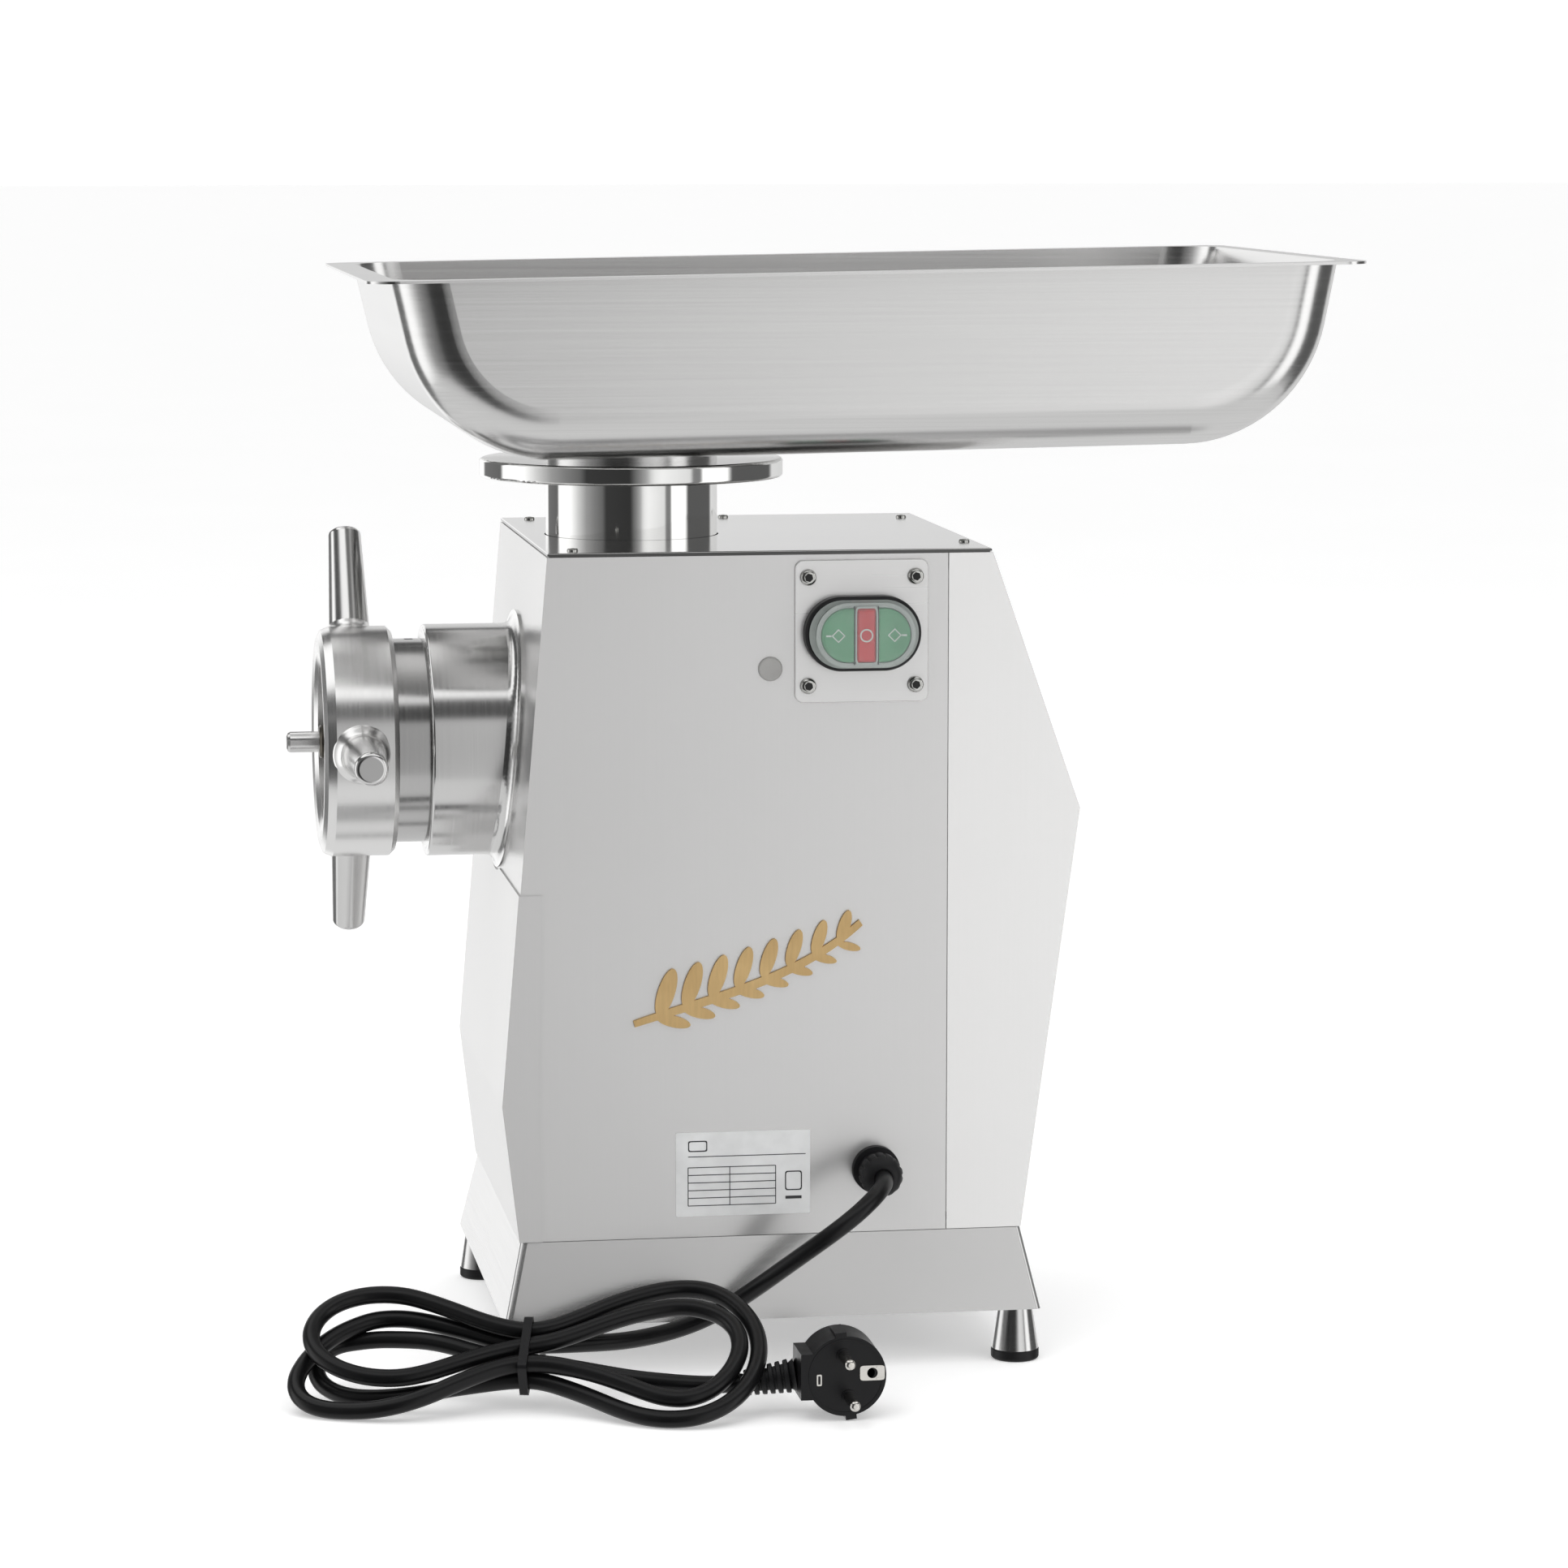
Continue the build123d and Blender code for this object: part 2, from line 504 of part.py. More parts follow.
KNIFE_X = (PLATE_X + PLATE_T + 0.4, AUGER_X[0])
with BuildPart() as knife:
    add(tube(HEAD_Z, KNIFE_X[0] + 1, KNIFE_X[1], 14.0))
    for turn in range(4):
        angle = math.radians(90 * turn + 20)
        along = Vector(0, math.cos(angle), math.sin(angle))
        with BuildSketch(Plane(Vector(KNIFE_X[0], 0, HEAD_Z), x_dir=along, z_dir=(1, 0, 0))):
            with BuildLine():
                Polyline([(0, -6), (37.5, -3), (37.5, 6), (0, 8)], close=True)
            make_face()
        extrude(amount=5.0)
    with BuildSketch(gear_plane(KNIFE_X[0] - 1, HEAD_Z)):
        Rectangle(13.3, 13.3)
    extrude(amount=14, mode=Mode.SUBTRACT)
save(knife, "knife")

with BuildPart() as auger_stud:
    with BuildSketch(gear_plane(KNIFE_X[0] + 0.2, HEAD_Z)):
        Rectangle(13.0, 13.0)
    extrude(amount=AUGER_X[0] - KNIFE_X[0] - 0.2)
    add(turned(HEAD_Z, [(KNIFE_X[0] + 0.2, 0), (KNIFE_X[0] + 0.2, STUD_R), (STUD_TIP_X + 1.6, STUD_R),
                        (STUD_TIP_X + 0.5, STUD_R - 0.6), (STUD_TIP_X, STUD_R - 1.8), (STUD_TIP_X, 0)]))
save(auger_stud, "auger_stud")

# ---- drive train ---------------------------------------------------------------------
SEAL_X = (-20.2, -12.6)
with BuildPart() as output_shaft:
    add(turned(HEAD_Z, [(AUGER_X[1], 0), (AUGER_X[1], 17.0), (-31.5, 17.0), (-31.5, OUTPUT_SHAFT_R),
                        (58.0, OUTPUT_SHAFT_R), (58.0, 0)]))
save(output_shaft, "output_shaft")

with BuildPart() as shaft_seal:
    add(tube(HEAD_Z, SEAL_X[0], SEAL_X[1], 25.8, OUTPUT_SHAFT_R + RUNNING_FIT))
save(shaft_seal, "shaft_seal")

with BuildPart() as output_gear:
    add(gear(gear_plane(SLOW_X[0], HEAD_Z), OUTPUT_TEETH, SLOW_M, SLOW_X[1] - SLOW_X[0], -90,
             OUTPUT_SHAFT_R))
    for x0, x1 in ((SLOW_X[0] - 0.1, SLOW_X[0] + 6), (SLOW_X[1] - 6, SLOW_X[1] + 0.1)):
        add(tube(HEAD_Z, x0, x1, 45.0, 24.0), mode=Mode.SUBTRACT)
save(output_gear, "output_gear")

with BuildPart() as lay_shaft:
    add(tube(LAY_Z, -9.0, 60.0, LAY_SHAFT_R))
    add(gear(gear_plane(SLOW_X[0], LAY_Z), PINION_TEETH, SLOW_M, SLOW_X[1] - SLOW_X[0],
             90 + 180 / PINION_TEETH, LAY_SHAFT_R - 1))
save(lay_shaft, "lay_shaft")

with BuildPart() as lay_wheel:
    add(gear(gear_plane(FAST_X[0], LAY_Z), WHEEL_TEETH, FAST_M, FAST_X[1] - FAST_X[0], -90,
             LAY_SHAFT_R))
    for x0, x1 in ((FAST_X[0] - 0.1, FAST_X[0] + 4), (FAST_X[1] - 4, FAST_X[1] + 0.1)):
        add(tube(LAY_Z, x0, x1, 35.0, 16.0), mode=Mode.SUBTRACT)
save(lay_wheel, "lay_wheel")

with BuildPart() as motor_pinion:
    add(gear(gear_plane(FAST_X[0], MOTOR_Z), MOTOR_TEETH, FAST_M, FAST_X[1] - FAST_X[0],
             90 + 180 / MOTOR_TEETH, MOTOR_SHAFT_R))
save(motor_pinion, "motor_pinion")

with BuildPart() as gearbox_case:
    add(block((CASE_X[0], -CASE_HALF_W, DECK_Z + 4), (CASE_X[1], CASE_HALF_W, CASE_TOP_Z)))
    fillet(gearbox_case.edges().filter_by(Axis.X).group_by(Axis.Z)[-1], radius=22)
    add(block((CASE_X[0] - 1, 10 - CASE_HALF_W, MOTOR_Z - 30),
              (CASE_X[1] - CASE_WALL, CASE_HALF_W - 10, CASE_TOP_Z - 24)), mode=Mode.SUBTRACT)
    add(tube(HEAD_Z, CASE_X[0] - 1, SLOW_X[1] + 2, 60.0), mode=Mode.SUBTRACT)
    for side in (-1, 1):
        y0, y1 = sorted((side * 22, side * (CASE_HALF_W + 1)))
        add(block((CASE_X[0] - 1, y0, DECK_Z + 14), (CASE_X[1] + 1, y1, MOTOR_Z - 40)),
            mode=Mode.SUBTRACT)
    add(tube(HEAD_Z, 0, 58.5, OUTPUT_SHAFT_R + 10.0), mode=Mode.SUBTRACT)
    add(tube(LAY_Z, 0, 60.5, LAY_SHAFT_R + 8.0), mode=Mode.SUBTRACT)
save(gearbox_case, "gearbox_case")

with BuildPart() as gearbox_cover:
    add(block((COVER_X[0], -CASE_HALF_W, MOTOR_Z - 40), (COVER_X[1], CASE_HALF_W, CASE_TOP_Z)))
    fillet(gearbox_cover.edges().filter_by(Axis.X).group_by(Axis.Z)[-1], radius=22)
    add(tube(HEAD_Z, COVER_X[0] - 1, COVER_X[1] + 1, OUTPUT_SHAFT_R + 10.0), mode=Mode.SUBTRACT)
    add(tube(LAY_Z, COVER_X[0] + 1, COVER_X[1] + 1, LAY_SHAFT_R + 8.0), mode=Mode.SUBTRACT)
    add(tube(MOTOR_Z, COVER_X[0] - 1, COVER_X[1] + 1, 17.5), mode=Mode.SUBTRACT)
save(gearbox_cover, "gearbox_cover")

with BuildPart() as gearbox_bolts:
    for y, z in ((-54, 320), (54, 320), (-54, 240), (54, 240), (-54, 130), (54, 130)):
        add(tube(z, COVER_X[0] - 4.0, COVER_X[0], 4.5).moved(Location((0, y, 0))))
save(gearbox_bolts, "gearbox_bolts")

with BuildPart() as gearbox_bearings:
    add(bearing(HEAD_Z, COVER_X[0] + 0.5, COVER_X[1], 25.0, OUTPUT_SHAFT_R + RUNNING_FIT))
    add(bearing(HEAD_Z, SLOW_X[1] + 2.2, 58.4, 25.0, OUTPUT_SHAFT_R + RUNNING_FIT))
    add(bearing(LAY_Z, COVER_X[0] + 1.1, COVER_X[1], 17.0, LAY_SHAFT_R + RUNNING_FIT))
    add(bearing(LAY_Z, CASE_X[1] - CASE_WALL, 60.4, 17.0, LAY_SHAFT_R + RUNNING_FIT))
save(gearbox_bearings, "gearbox_bearings")

with BuildPart() as motor_bearings:
    add(bearing(MOTOR_Z, COVER_X[0], COVER_X[1], 17.5, MOTOR_SHAFT_R + RUNNING_FIT))
    add(bearing(MOTOR_Z, MOTOR_X[0] - 9.0, MOTOR_X[0] - 1.0, 16.0, MOTOR_SHAFT_R + RUNNING_FIT))
save(motor_bearings, "motor_bearings")

with BuildPart() as motor_housing:
    add(tube(MOTOR_Z, MOTOR_X[0], MOTOR_X[1], MOTOR_R, MOTOR_R - 4))
    with BuildSketch(gear_plane(MOTOR_X[0], MOTOR_Z)):
        with PolarLocations(MOTOR_R + 1.5, 24):
            Rectangle(5.0, 2.0)
    extrude(amount=MOTOR_X[1] - MOTOR_X[0])
save(motor_housing, "motor_housing")

with BuildPart() as motor_stator:
    add(tube(MOTOR_Z, MOTOR_X[0] + 16, MOTOR_X[1] - 16, MOTOR_R - 4.1, 36.0))
    for x0, x1 in ((MOTOR_X[0] + 5, MOTOR_X[0] + 16), (MOTOR_X[1] - 16, MOTOR_X[1] - 5)):
        add(tube(MOTOR_Z, x0, x1, 52.0, 38.0))
save(motor_stator, "motor_stator")

with BuildPart() as motor_end_bells:
    add(turned(MOTOR_Z, [(MOTOR_X[1], MOTOR_SHAFT_R + 2), (COVER_X[0], MOTOR_SHAFT_R + 2),
                         (COVER_X[0], 36), (MOTOR_X[1] + 7, MOTOR_R), (MOTOR_X[1], MOTOR_R)]))
    add(turned(MOTOR_Z, [(MOTOR_X[0], MOTOR_SHAFT_R + 2), (MOTOR_X[0] - 1, MOTOR_SHAFT_R + 2),
                         (MOTOR_X[0] - 1, 16), (MOTOR_X[0] - 9, 16), (MOTOR_X[0] - 9, 22),
                         (MOTOR_X[0] - 4, 26), (MOTOR_X[0] - 4, MOTOR_R), (MOTOR_X[0], MOTOR_R)]))
save(motor_end_bells, "motor_end_bells")

with BuildPart() as motor_rotor:
    add(turned(MOTOR_Z, [
        (MOTOR_X[0] - 20, 0), (FAST_X[1] + 1, 0), (FAST_X[1] + 1, MOTOR_SHAFT_R),
        (MOTOR_X[1] - 17, MOTOR_SHAFT_R), (MOTOR_X[1] - 17, 35.4), (MOTOR_X[0] + 17, 35.4),
        (MOTOR_X[0] + 17, MOTOR_SHAFT_R), (MOTOR_X[0] - 20, MOTOR_SHAFT_R)]))
save(motor_rotor, "motor_rotor")

with BuildPart() as motor_fan:
    add(tube(MOTOR_Z, MOTOR_X[0] - 19, MOTOR_X[0] - 11, 16.0, MOTOR_SHAFT_R))
    with BuildSketch(gear_plane(MOTOR_X[0] - 19, MOTOR_Z)):
        with PolarLocations(33.0, 9):
            Rectangle(36.0, 2.0)
    extrude(amount=8.0)
save(motor_fan, "motor_fan")

with BuildPart() as fan_cowl:
    add(turned(MOTOR_Z, [(MOTOR_X[0] - 4.1, MOTOR_R), (MOTOR_X[0] - 4.1, MOTOR_R - 1.5),
                         (MOTOR_X[0] - 19.4, MOTOR_R - 1.5), (MOTOR_X[0] - 22.5, MOTOR_R - 4.6),
                         (MOTOR_X[0] - 22.5, 12.0),
                         (MOTOR_X[0] - 24.0, 12.0), (MOTOR_X[0] - 24.0, MOTOR_R - 4),
                         (MOTOR_X[0] - 20.0, MOTOR_R)]))
    with BuildSketch(gear_plane(MOTOR_X[0] - 26, MOTOR_Z)):
        for ring in (22.0, 32.0, 42.0, 52.0):
            with PolarLocations(ring, int(ring / 2.2)):
                Circle(2.2)
    extrude(amount=5.0, mode=Mode.SUBTRACT)
save(fan_cowl, "fan_cowl")

with BuildPart() as run_capacitor:
    add(upright(18, 85, DECK_Z + 4, 165, 17.0))
    fillet(run_capacitor.edges().filter_by(GeomType.CIRCLE).group_by(Axis.Z)[-1], radius=3)
    for x in (13, 23):
        add(block((x - 0.4, 82, 165), (x + 0.4, 88, 174)))
save(run_capacitor, "run_capacitor")

with BuildPart() as terminal_block:
    add(block((2, -99, 140), (42, -67, 168)))
    for k in range(4):
        add(block((5 + 10 * k, -99.1, 151), (10 + 10 * k, -96, 169)), mode=Mode.SUBTRACT)
save(terminal_block, "terminal_block")

# ---- hopper: neck, disc and tray -------------------------------------------------------
with BuildPart() as hopper_neck:
    add(upright(THROAT_X, 0, NECK_Z, DISC_Z[1], NECK_R, NECK_BORE_R))
save(hopper_neck, "hopper_neck")

with BuildPart() as hopper_disc:
    add(upright(THROAT_X, 0, DISC_Z[0], DISC_Z[1], DISC_R, NECK_R))
    fillet(hopper_disc.edges().filter_by(GeomType.CIRCLE).group_by(SortBy.RADIUS)[-1], radius=1.6)
save(hopper_disc, "hopper_disc")

LEAN = math.radians(TRAY_TILT)
TRAY_ALONG = (math.cos(LEAN), 0, math.sin(LEAN))
TRAY_UP = (-math.sin(LEAN), 0, math.cos(LEAN))
TRAY_SIDE = Plane((THROAT_X, 0, TRAY_RIM_Z), x_dir=TRAY_ALONG, z_dir=(0, -1, 0))
TRAY_TOP = Plane((THROAT_X, 0, TRAY_RIM_Z), x_dir=TRAY_ALONG, z_dir=TRAY_UP)


def pan(inset):
    """The pan as a closed block: leaning end walls, long end arcs and rounded long edges."""
    drop = TRAY_DEPTH - inset
    run = drop * math.tan(math.radians(TRAY_WALL_LEAN))
    left, right = TRAY_X[0] + inset, TRAY_X[1] - inset
    with BuildPart() as solid:
        with BuildSketch(TRAY_SIDE) as side:
            with BuildLine():
                Polyline([(left, 0), (left + run, -drop), (right - run, -drop), (right, 0)], close=True)
            make_face()
            fillet(side.vertices().sort_by(Axis.Y)[:2], radius=TRAY_END_R - inset)
        extrude(amount=TRAY_HALF_W - inset, both=True)
        ends = solid.faces().filter_by(Axis.Y)
        rounded = [edge for face in ends for edge in face.edges()
                   if (edge @ 0.5 - Vector(THROAT_X, 0, TRAY_RIM_Z)).dot(Vector(*TRAY_UP)) < -1]
        fillet(rounded, radius=TRAY_EDGE_R - inset)
    return solid.part


with BuildPart() as hopper_tray:
    with BuildSketch(TRAY_TOP.offset(-TRAY_T)):
        with Locations(((TRAY_RIM_X[0] + TRAY_RIM_X[1]) / 2, 0)):
            RectangleRounded(TRAY_RIM_X[1] - TRAY_RIM_X[0], 2 * TRAY_RIM_HALF_W, RIM_CORNER_R)
    extrude(amount=TRAY_T)
    add(pan(0.0))
    add(upright(THROAT_X, 0, DISC_Z[1], TRAY_RIM_Z - TRAY_DEPTH + 2, NECK_R))
    add(pan(TRAY_T), mode=Mode.SUBTRACT)
    add(upright(THROAT_X, 0, DISC_Z[1] - 1, TRAY_RIM_Z - TRAY_DEPTH + 5, NECK_BORE_R),
        mode=Mode.SUBTRACT)
save(hopper_tray, "hopper_tray")

# ---- controls ------------------------------------------------------------------------------
SIDE_PLANE = Plane((STATION_X, NEAR_Y, STATION_Z), x_dir=(1, 0, 0), z_dir=(0, -1, 0))
PLATE_PLANE = Plane((PANEL_X, NEAR_Y, PANEL_Z), x_dir=(1, 0, 0), z_dir=(0, -1, 0))
with BuildPart() as control_plate:
    with BuildSketch(PLATE_PLANE):
        RectangleRounded(PANEL_W, PANEL_H, PANEL_CORNER_R)
    extrude(amount=PANEL_T)
    chamfer(control_plate.edges().group_by(Axis.Y)[0], length=0.35)
    with BuildSketch(SIDE_PLANE):
        SlotOverall(BOOT_W - 3, BOOT_H - 3)
    extrude(amount=PANEL_T, mode=Mode.SUBTRACT)
save(control_plate, "control_plate")

with BuildPart() as casing_screws:
    for x, y in SCREW_SPOTS:
        add(cap_screw(x, y, TOP_Z, 2.6, 1.2, 1.5, 1.9, (0, 0, 1)))
    for x in (-1, 1):
        for z in (-1, 1):
            add(cap_screw(PANEL_X + x * PANEL_SCREW_PITCH / 2, NEAR_Y - PANEL_T,
                          PANEL_Z + z * PANEL_SCREW_PITCH / 2, 3.8, 2.3, 0, 0, (0, -1, 0)))
save(casing_screws, "casing_screws")

STATION_PLANE = SIDE_PLANE.offset(PANEL_T)
with BuildPart() as station_bezel:
    extrude(oval(STATION_PLANE, BEZEL_W, BEZEL_H), amount=BEZEL_T)
    fillet(station_bezel.edges().group_by(Axis.Y)[0], radius=2.2)
    extrude(oval(STATION_PLANE, BOOT_W, BOOT_H), amount=BEZEL_T, mode=Mode.SUBTRACT)
    extrude(oval(STATION_PLANE, BOOT_W - 0.4, BOOT_H - 0.4, 1.6), amount=-6.0)
    extrude(oval(STATION_PLANE, BOOT_W, BOOT_H), amount=2.0)
    extrude(oval(STATION_PLANE, BOOT_W - 5.4, BOOT_H - 5.4), amount=40.0, both=True,
            mode=Mode.SUBTRACT)
save(station_bezel, "station_bezel")

BOOT_T = 1.2
BOOT_BASE = 2.1


def boot_dome(inset, drop):
    """The boot's rounded oval block, inset on its sides and lowered on its top."""
    with BuildPart() as dome:
        extrude(oval(STATION_PLANE.offset(BOOT_BASE), BOOT_W, BOOT_H, 0.3 + inset),
                amount=BEZEL_T + BOOT_RISE - BOOT_BASE - drop)
        fillet(dome.edges().group_by(Axis.Y)[0], radius=6.0 - inset)
    return dome.part


with BuildPart() as button_boot:
    add(boot_dome(0.0, 0.0))
    add(boot_dome(BOOT_T, BOOT_T), mode=Mode.SUBTRACT)
save(button_boot, "button_boot")

CAP_BASE, CAP_GAP = 4.0, 3.1


def push_button(x0, x1):
    """One cap of the triple station between two x limits, with its stem behind."""
    with BuildPart() as cap:
        with BuildSketch(STATION_PLANE.offset(CAP_BASE)):
            SlotOverall(BOOT_W - 2 * CAP_GAP, BOOT_H - 2 * CAP_GAP)
            with Locations(((x0 + x1) / 2, 0)):
                Rectangle(x1 - x0, BOOT_H, mode=Mode.INTERSECT)
        extrude(amount=BEZEL_T + BOOT_RISE - CAP_BASE - 3.2)
        fillet(cap.edges().group_by(Axis.Y)[0], radius=1.6)
        middle = STATION_X + max(-14.0, min(14.0, (x0 + x1) / 2))
        add(block((middle - 3, NEAR_Y - PANEL_T - CAP_BASE - 0.5, STATION_Z - 3),
                  (middle + 3, NEAR_Y + 13, STATION_Z + 3)))
    return cap.part


BUTTON_EDGE = BOOT_W / 2
with BuildPart() as button_reverse:
    add(push_button(-BUTTON_EDGE, -STOP_HALF_W - CLEAR))
save(button_reverse, "button_reverse")

with BuildPart() as button_stop:
    add(push_button(-STOP_HALF_W, STOP_HALF_W))
save(button_stop, "button_stop")

with BuildPart() as button_forward:
    add(push_button(STOP_HALF_W + CLEAR, BUTTON_EDGE))
save(button_forward, "button_forward")

with BuildPart() as contact_block:
    add(block((STATION_X - 21, NEAR_Y + 10, STATION_Z - 15),
              (STATION_X + 21, NEAR_Y + 38, STATION_Z + 15)))
    for x in (-14, 0, 14):
        add(block((STATION_X + x - 4, NEAR_Y + 9, STATION_Z - 4),
                  (STATION_X + x + 4, NEAR_Y + 22, STATION_Z + 4)), mode=Mode.SUBTRACT)
save(contact_block, "contact_block")

with BuildPart() as hole_plug:
    add(across(CAP_X, CAP_Z, NEAR_Y - 1.6, NEAR_Y, CAP_R))
    fillet(hole_plug.edges().filter_by(GeomType.CIRCLE).sort_by(Axis.Y)[0], radius=1.1)
    add(across(CAP_X, CAP_Z, NEAR_Y, NEAR_Y + 4, 4.1, 2.6))
save(hole_plug, "hole_plug")

# ---- label and emblem -------------------------------------------------------------------
LABEL_MID = ((LABEL_X[0] + LABEL_X[1]) / 2, (LABEL_Z[0] + LABEL_Z[1]) / 2)
with BuildPart() as rating_label:
    with BuildSketch(Plane((LABEL_MID[0], NEAR_Y, LABEL_MID[1]), x_dir=(1, 0, 0), z_dir=(0, -1, 0))):
        RectangleRounded(LABEL_X[1] - LABEL_X[0], LABEL_Z[1] - LABEL_Z[0], 0.8)
    extrude(amount=0.25)
save(rating_label, "rating_label")

EMBLEM_PLANE = Plane((BADGE_X, NEAR_Y, BADGE_Z), x_dir=(math.cos(math.radians(BADGE_SLOPE)), 0,
                     math.sin(math.radians(BADGE_SLOPE))), z_dir=(0, -1, 0))
with BuildPart() as emblem:
    with BuildSketch(EMBLEM_PLANE):
        with BuildLine():
            Spline((-56, -14), (-20, -13), (20, -9), (58, 4))
            Line((58, 4), (57, 7))
            Spline((57, 7), (20, -5), (-20, -9), (-56, -11))
            Line((-56, -11), (-56, -14))
        make_face()
        for k in range(8):
            x = -44 + 12.5 * k
            stem_z = -11.5 + 0.0035 * (x + 56) ** 1.75
            size = 1 - 0.045 * k
            with Locations(Location((x + 6, stem_z + 9 * size, 0), (0, 0, 58))):
                Ellipse(11.5 * size, 4.0 * size)
            with Locations(Location((x + 6, stem_z - 5 * size, 0), (0, 0, -28))):
                Ellipse(8.0 * size, 2.7 * size)
    extrude(amount=1.4)
save(emblem, "emblem")

# ---- mains lead ---------------------------------------------------------------------------
with BuildPart() as cable_gland:
    add(across(GLAND_X, GLAND_Z, NEAR_Y - 4.0, NEAR_Y, 11.0, CORD_R + 0.1))
    add(across(GLAND_X, GLAND_Z, NEAR_Y - 11.0, NEAR_Y - 4.0, 8.6, CORD_R + 0.1))
    add(across(GLAND_X, GLAND_Z, NEAR_Y, NEAR_Y + 9.0, 8.0, CORD_R + 0.1))
save(cable_gland, "cable_gland")

with BuildPart() as gland_cap:
    add(across(GLAND_X, GLAND_Z, NEAR_Y - GLAND_OUT, NEAR_Y - 11.0, 9.9, CORD_R + 0.1))
    fillet(gland_cap.edges().filter_by(GeomType.CIRCLE).sort_by(Axis.Y)[0:2]
           .sort_by(SortBy.RADIUS)[-1], radius=3.5)
save(gland_cap, "gland_cap")

with BuildPart() as gland_locknut:
    with BuildSketch(Plane((GLAND_X, NEAR_Y + SHEET, GLAND_Z), x_dir=(1, 0, 0), z_dir=(0, 1, 0))):
        RegularPolygon(11.5, 6)
        Circle(8.1, mode=Mode.SUBTRACT)
    extrude(amount=4.5)
save(gland_locknut, "gland_locknut")

CORD_START_Y = NEAR_Y - GLAND_OUT
LEAD_ROUTE = [
    (GLAND_X, CORD_START_Y + 3, GLAND_Z), (21.8, -135.5, 92.9), (18.6, -145.4, 91.6),
    (12.4, -154.0, 88.0), (3.5, -159.5, 82.0), (-7.0, -160.5, 74.5), (-18.0, -156.0, 65.5),
    (-29.0, -148.5, 55.5), (-39.5, -140.0, 45.5), (-50.0, -132.5, 36.3), (-61.5, -129.0, 29.3),
    (-74.0, -130.5, 25.4), (-87.0, -135.5, 23.8), (-101.0, -142.5, 23.7), (-114.5, -148.0, 24.6),
    (-128.0, -151.8, 25.4)]


def lay_cord(route):
    """A cord of straight runs joined by the largest tangent arcs that fit."""
    points = [Vector(*p) for p in route]
    runs = [b - a for a, b in zip(points, points[1:])]
    radii = []
    for before, after in zip(runs, runs[1:]):
        half_turn = math.radians(before.get_angle(after)) / 2
        radii.append(0.45 * min(before.length, after.length) / math.tan(half_turn))
    with BuildPart() as cord:
        with BuildLine() as path:
            FilletPolyline(*points, radius=radii)
        with BuildSketch(Plane(points[0], z_dir=runs[0])):
            Circle(CORD_R)
        sweep(path=path.line)
    length = sum(edge.length for edge in path.line.edges())
    print("cord length", round(length, 1), "radii", [round(r, 1) for r in radii],
          "runs", [round(r.length, 1) for r in runs],
          "volume ratio", round(cord.part.volume / (math.pi * CORD_R ** 2 * length), 4))
    return cord.part


with BuildPart() as cord_lead:
    add(lay_cord(LEAD_ROUTE))
save(cord_lead, "cord_lead")

HANK_ALONG = Vector(1, 0, 0).rotate(Axis.Z, HANK_YAW)
HANK_OUT = Vector(0, 0, 1).rotate(Axis((0, 0, 0), HANK_ALONG), HANK_TILT)
HANK_PLANE = Plane(HANK_AT, x_dir=HANK_ALONG, z_dir=HANK_OUT)
with BuildPart() as cord_hank:
    with BuildSketch(HANK_PLANE.offset(-HANK_T / 2)):
        with Locations((-58, -4)):
            Ellipse(57, 39)
        with Locations((52, -1)):
            Ellipse(50, 45)
        with Locations(TIE_AT):
            Rectangle(60, HANK_WAIST)
    extrude(amount=HANK_T)
    add(block((-300, -300, -30), (0, -100, 0.2)), mode=Mode.SUBTRACT)
save(cord_hank, "cord_hank")

TIE_PLANE = Plane(HANK_PLANE.from_local_coords((TIE_AT[0] - TIE_W / 2, TIE_AT[1], 0)),
                  x_dir=HANK_PLANE.y_dir, z_dir=HANK_ALONG)
with BuildPart() as cord_tie:
    with BuildSketch(TIE_PLANE):
        RectangleRounded(HANK_WAIST + 2 * TIE_T, HANK_T + 2 * TIE_T, 2.5)
        Rectangle(HANK_WAIST + 0.1, HANK_T + 0.1, mode=Mode.SUBTRACT)
    extrude(amount=TIE_W)
save(cord_tie, "cord_tie")

TAIL_ROUTE = [(-54.0, -190.8, 14.0), (-64.0, -191.6, 14.0), (-75.0, -191.7, 14.6), (-87.0, -190.8, 15.8)]
with BuildPart() as cord_tail:
    add(lay_cord(TAIL_ROUTE))
save(cord_tail, "cord_tail")

PLUG_FACE = Plane((PLUG_X, PLUG_Y[0], PLUG_Z), x_dir=(1, 0, 0), z_dir=(0, -1, 0))
with BuildPart() as plug_body:
    with BuildSketch(PLUG_FACE):
        Circle(PLUG_R)
        with Locations((-PLUG_R * 0.72, 0)):
            Rectangle(PLUG_R * 0.8, PLUG_R * 1.15)
    extrude(amount=-(PLUG_Y[1] - PLUG_Y[0]))
    with BuildSketch(PLUG_FACE):
        with Locations(Location((0, 0, 0), (0, 0, PIN_LEAN))):
            Rectangle(5.0, 2 * PLUG_R + 3.6)
    extrude(amount=-16)
    chamfer(plug_body.edges().group_by(Axis.Y)[-1], length=2.5)
    add(across(PLUG_X + 10.5, PLUG_Z + 1.2, PLUG_Y[0] - 1, PLUG_Y[0] + 15, 2.5), mode=Mode.SUBTRACT)
save(plug_body, "plug_body")

with BuildPart() as plug_pins:
    lean = math.radians(PIN_LEAN)
    for side in (-1, 1):
        pin_x = PLUG_X - side * PIN_PITCH / 2 * math.sin(lean)
        pin_z = PLUG_Z + side * PIN_PITCH / 2 * math.cos(lean)
        add(across(pin_x, pin_z, PLUG_Y[0] - 19.0, PLUG_Y[0], PIN_R))
    fillet(plug_pins.edges().filter_by(GeomType.CIRCLE).group_by(Axis.Y)[0], radius=1.5)
save(plug_pins, "plug_pins")

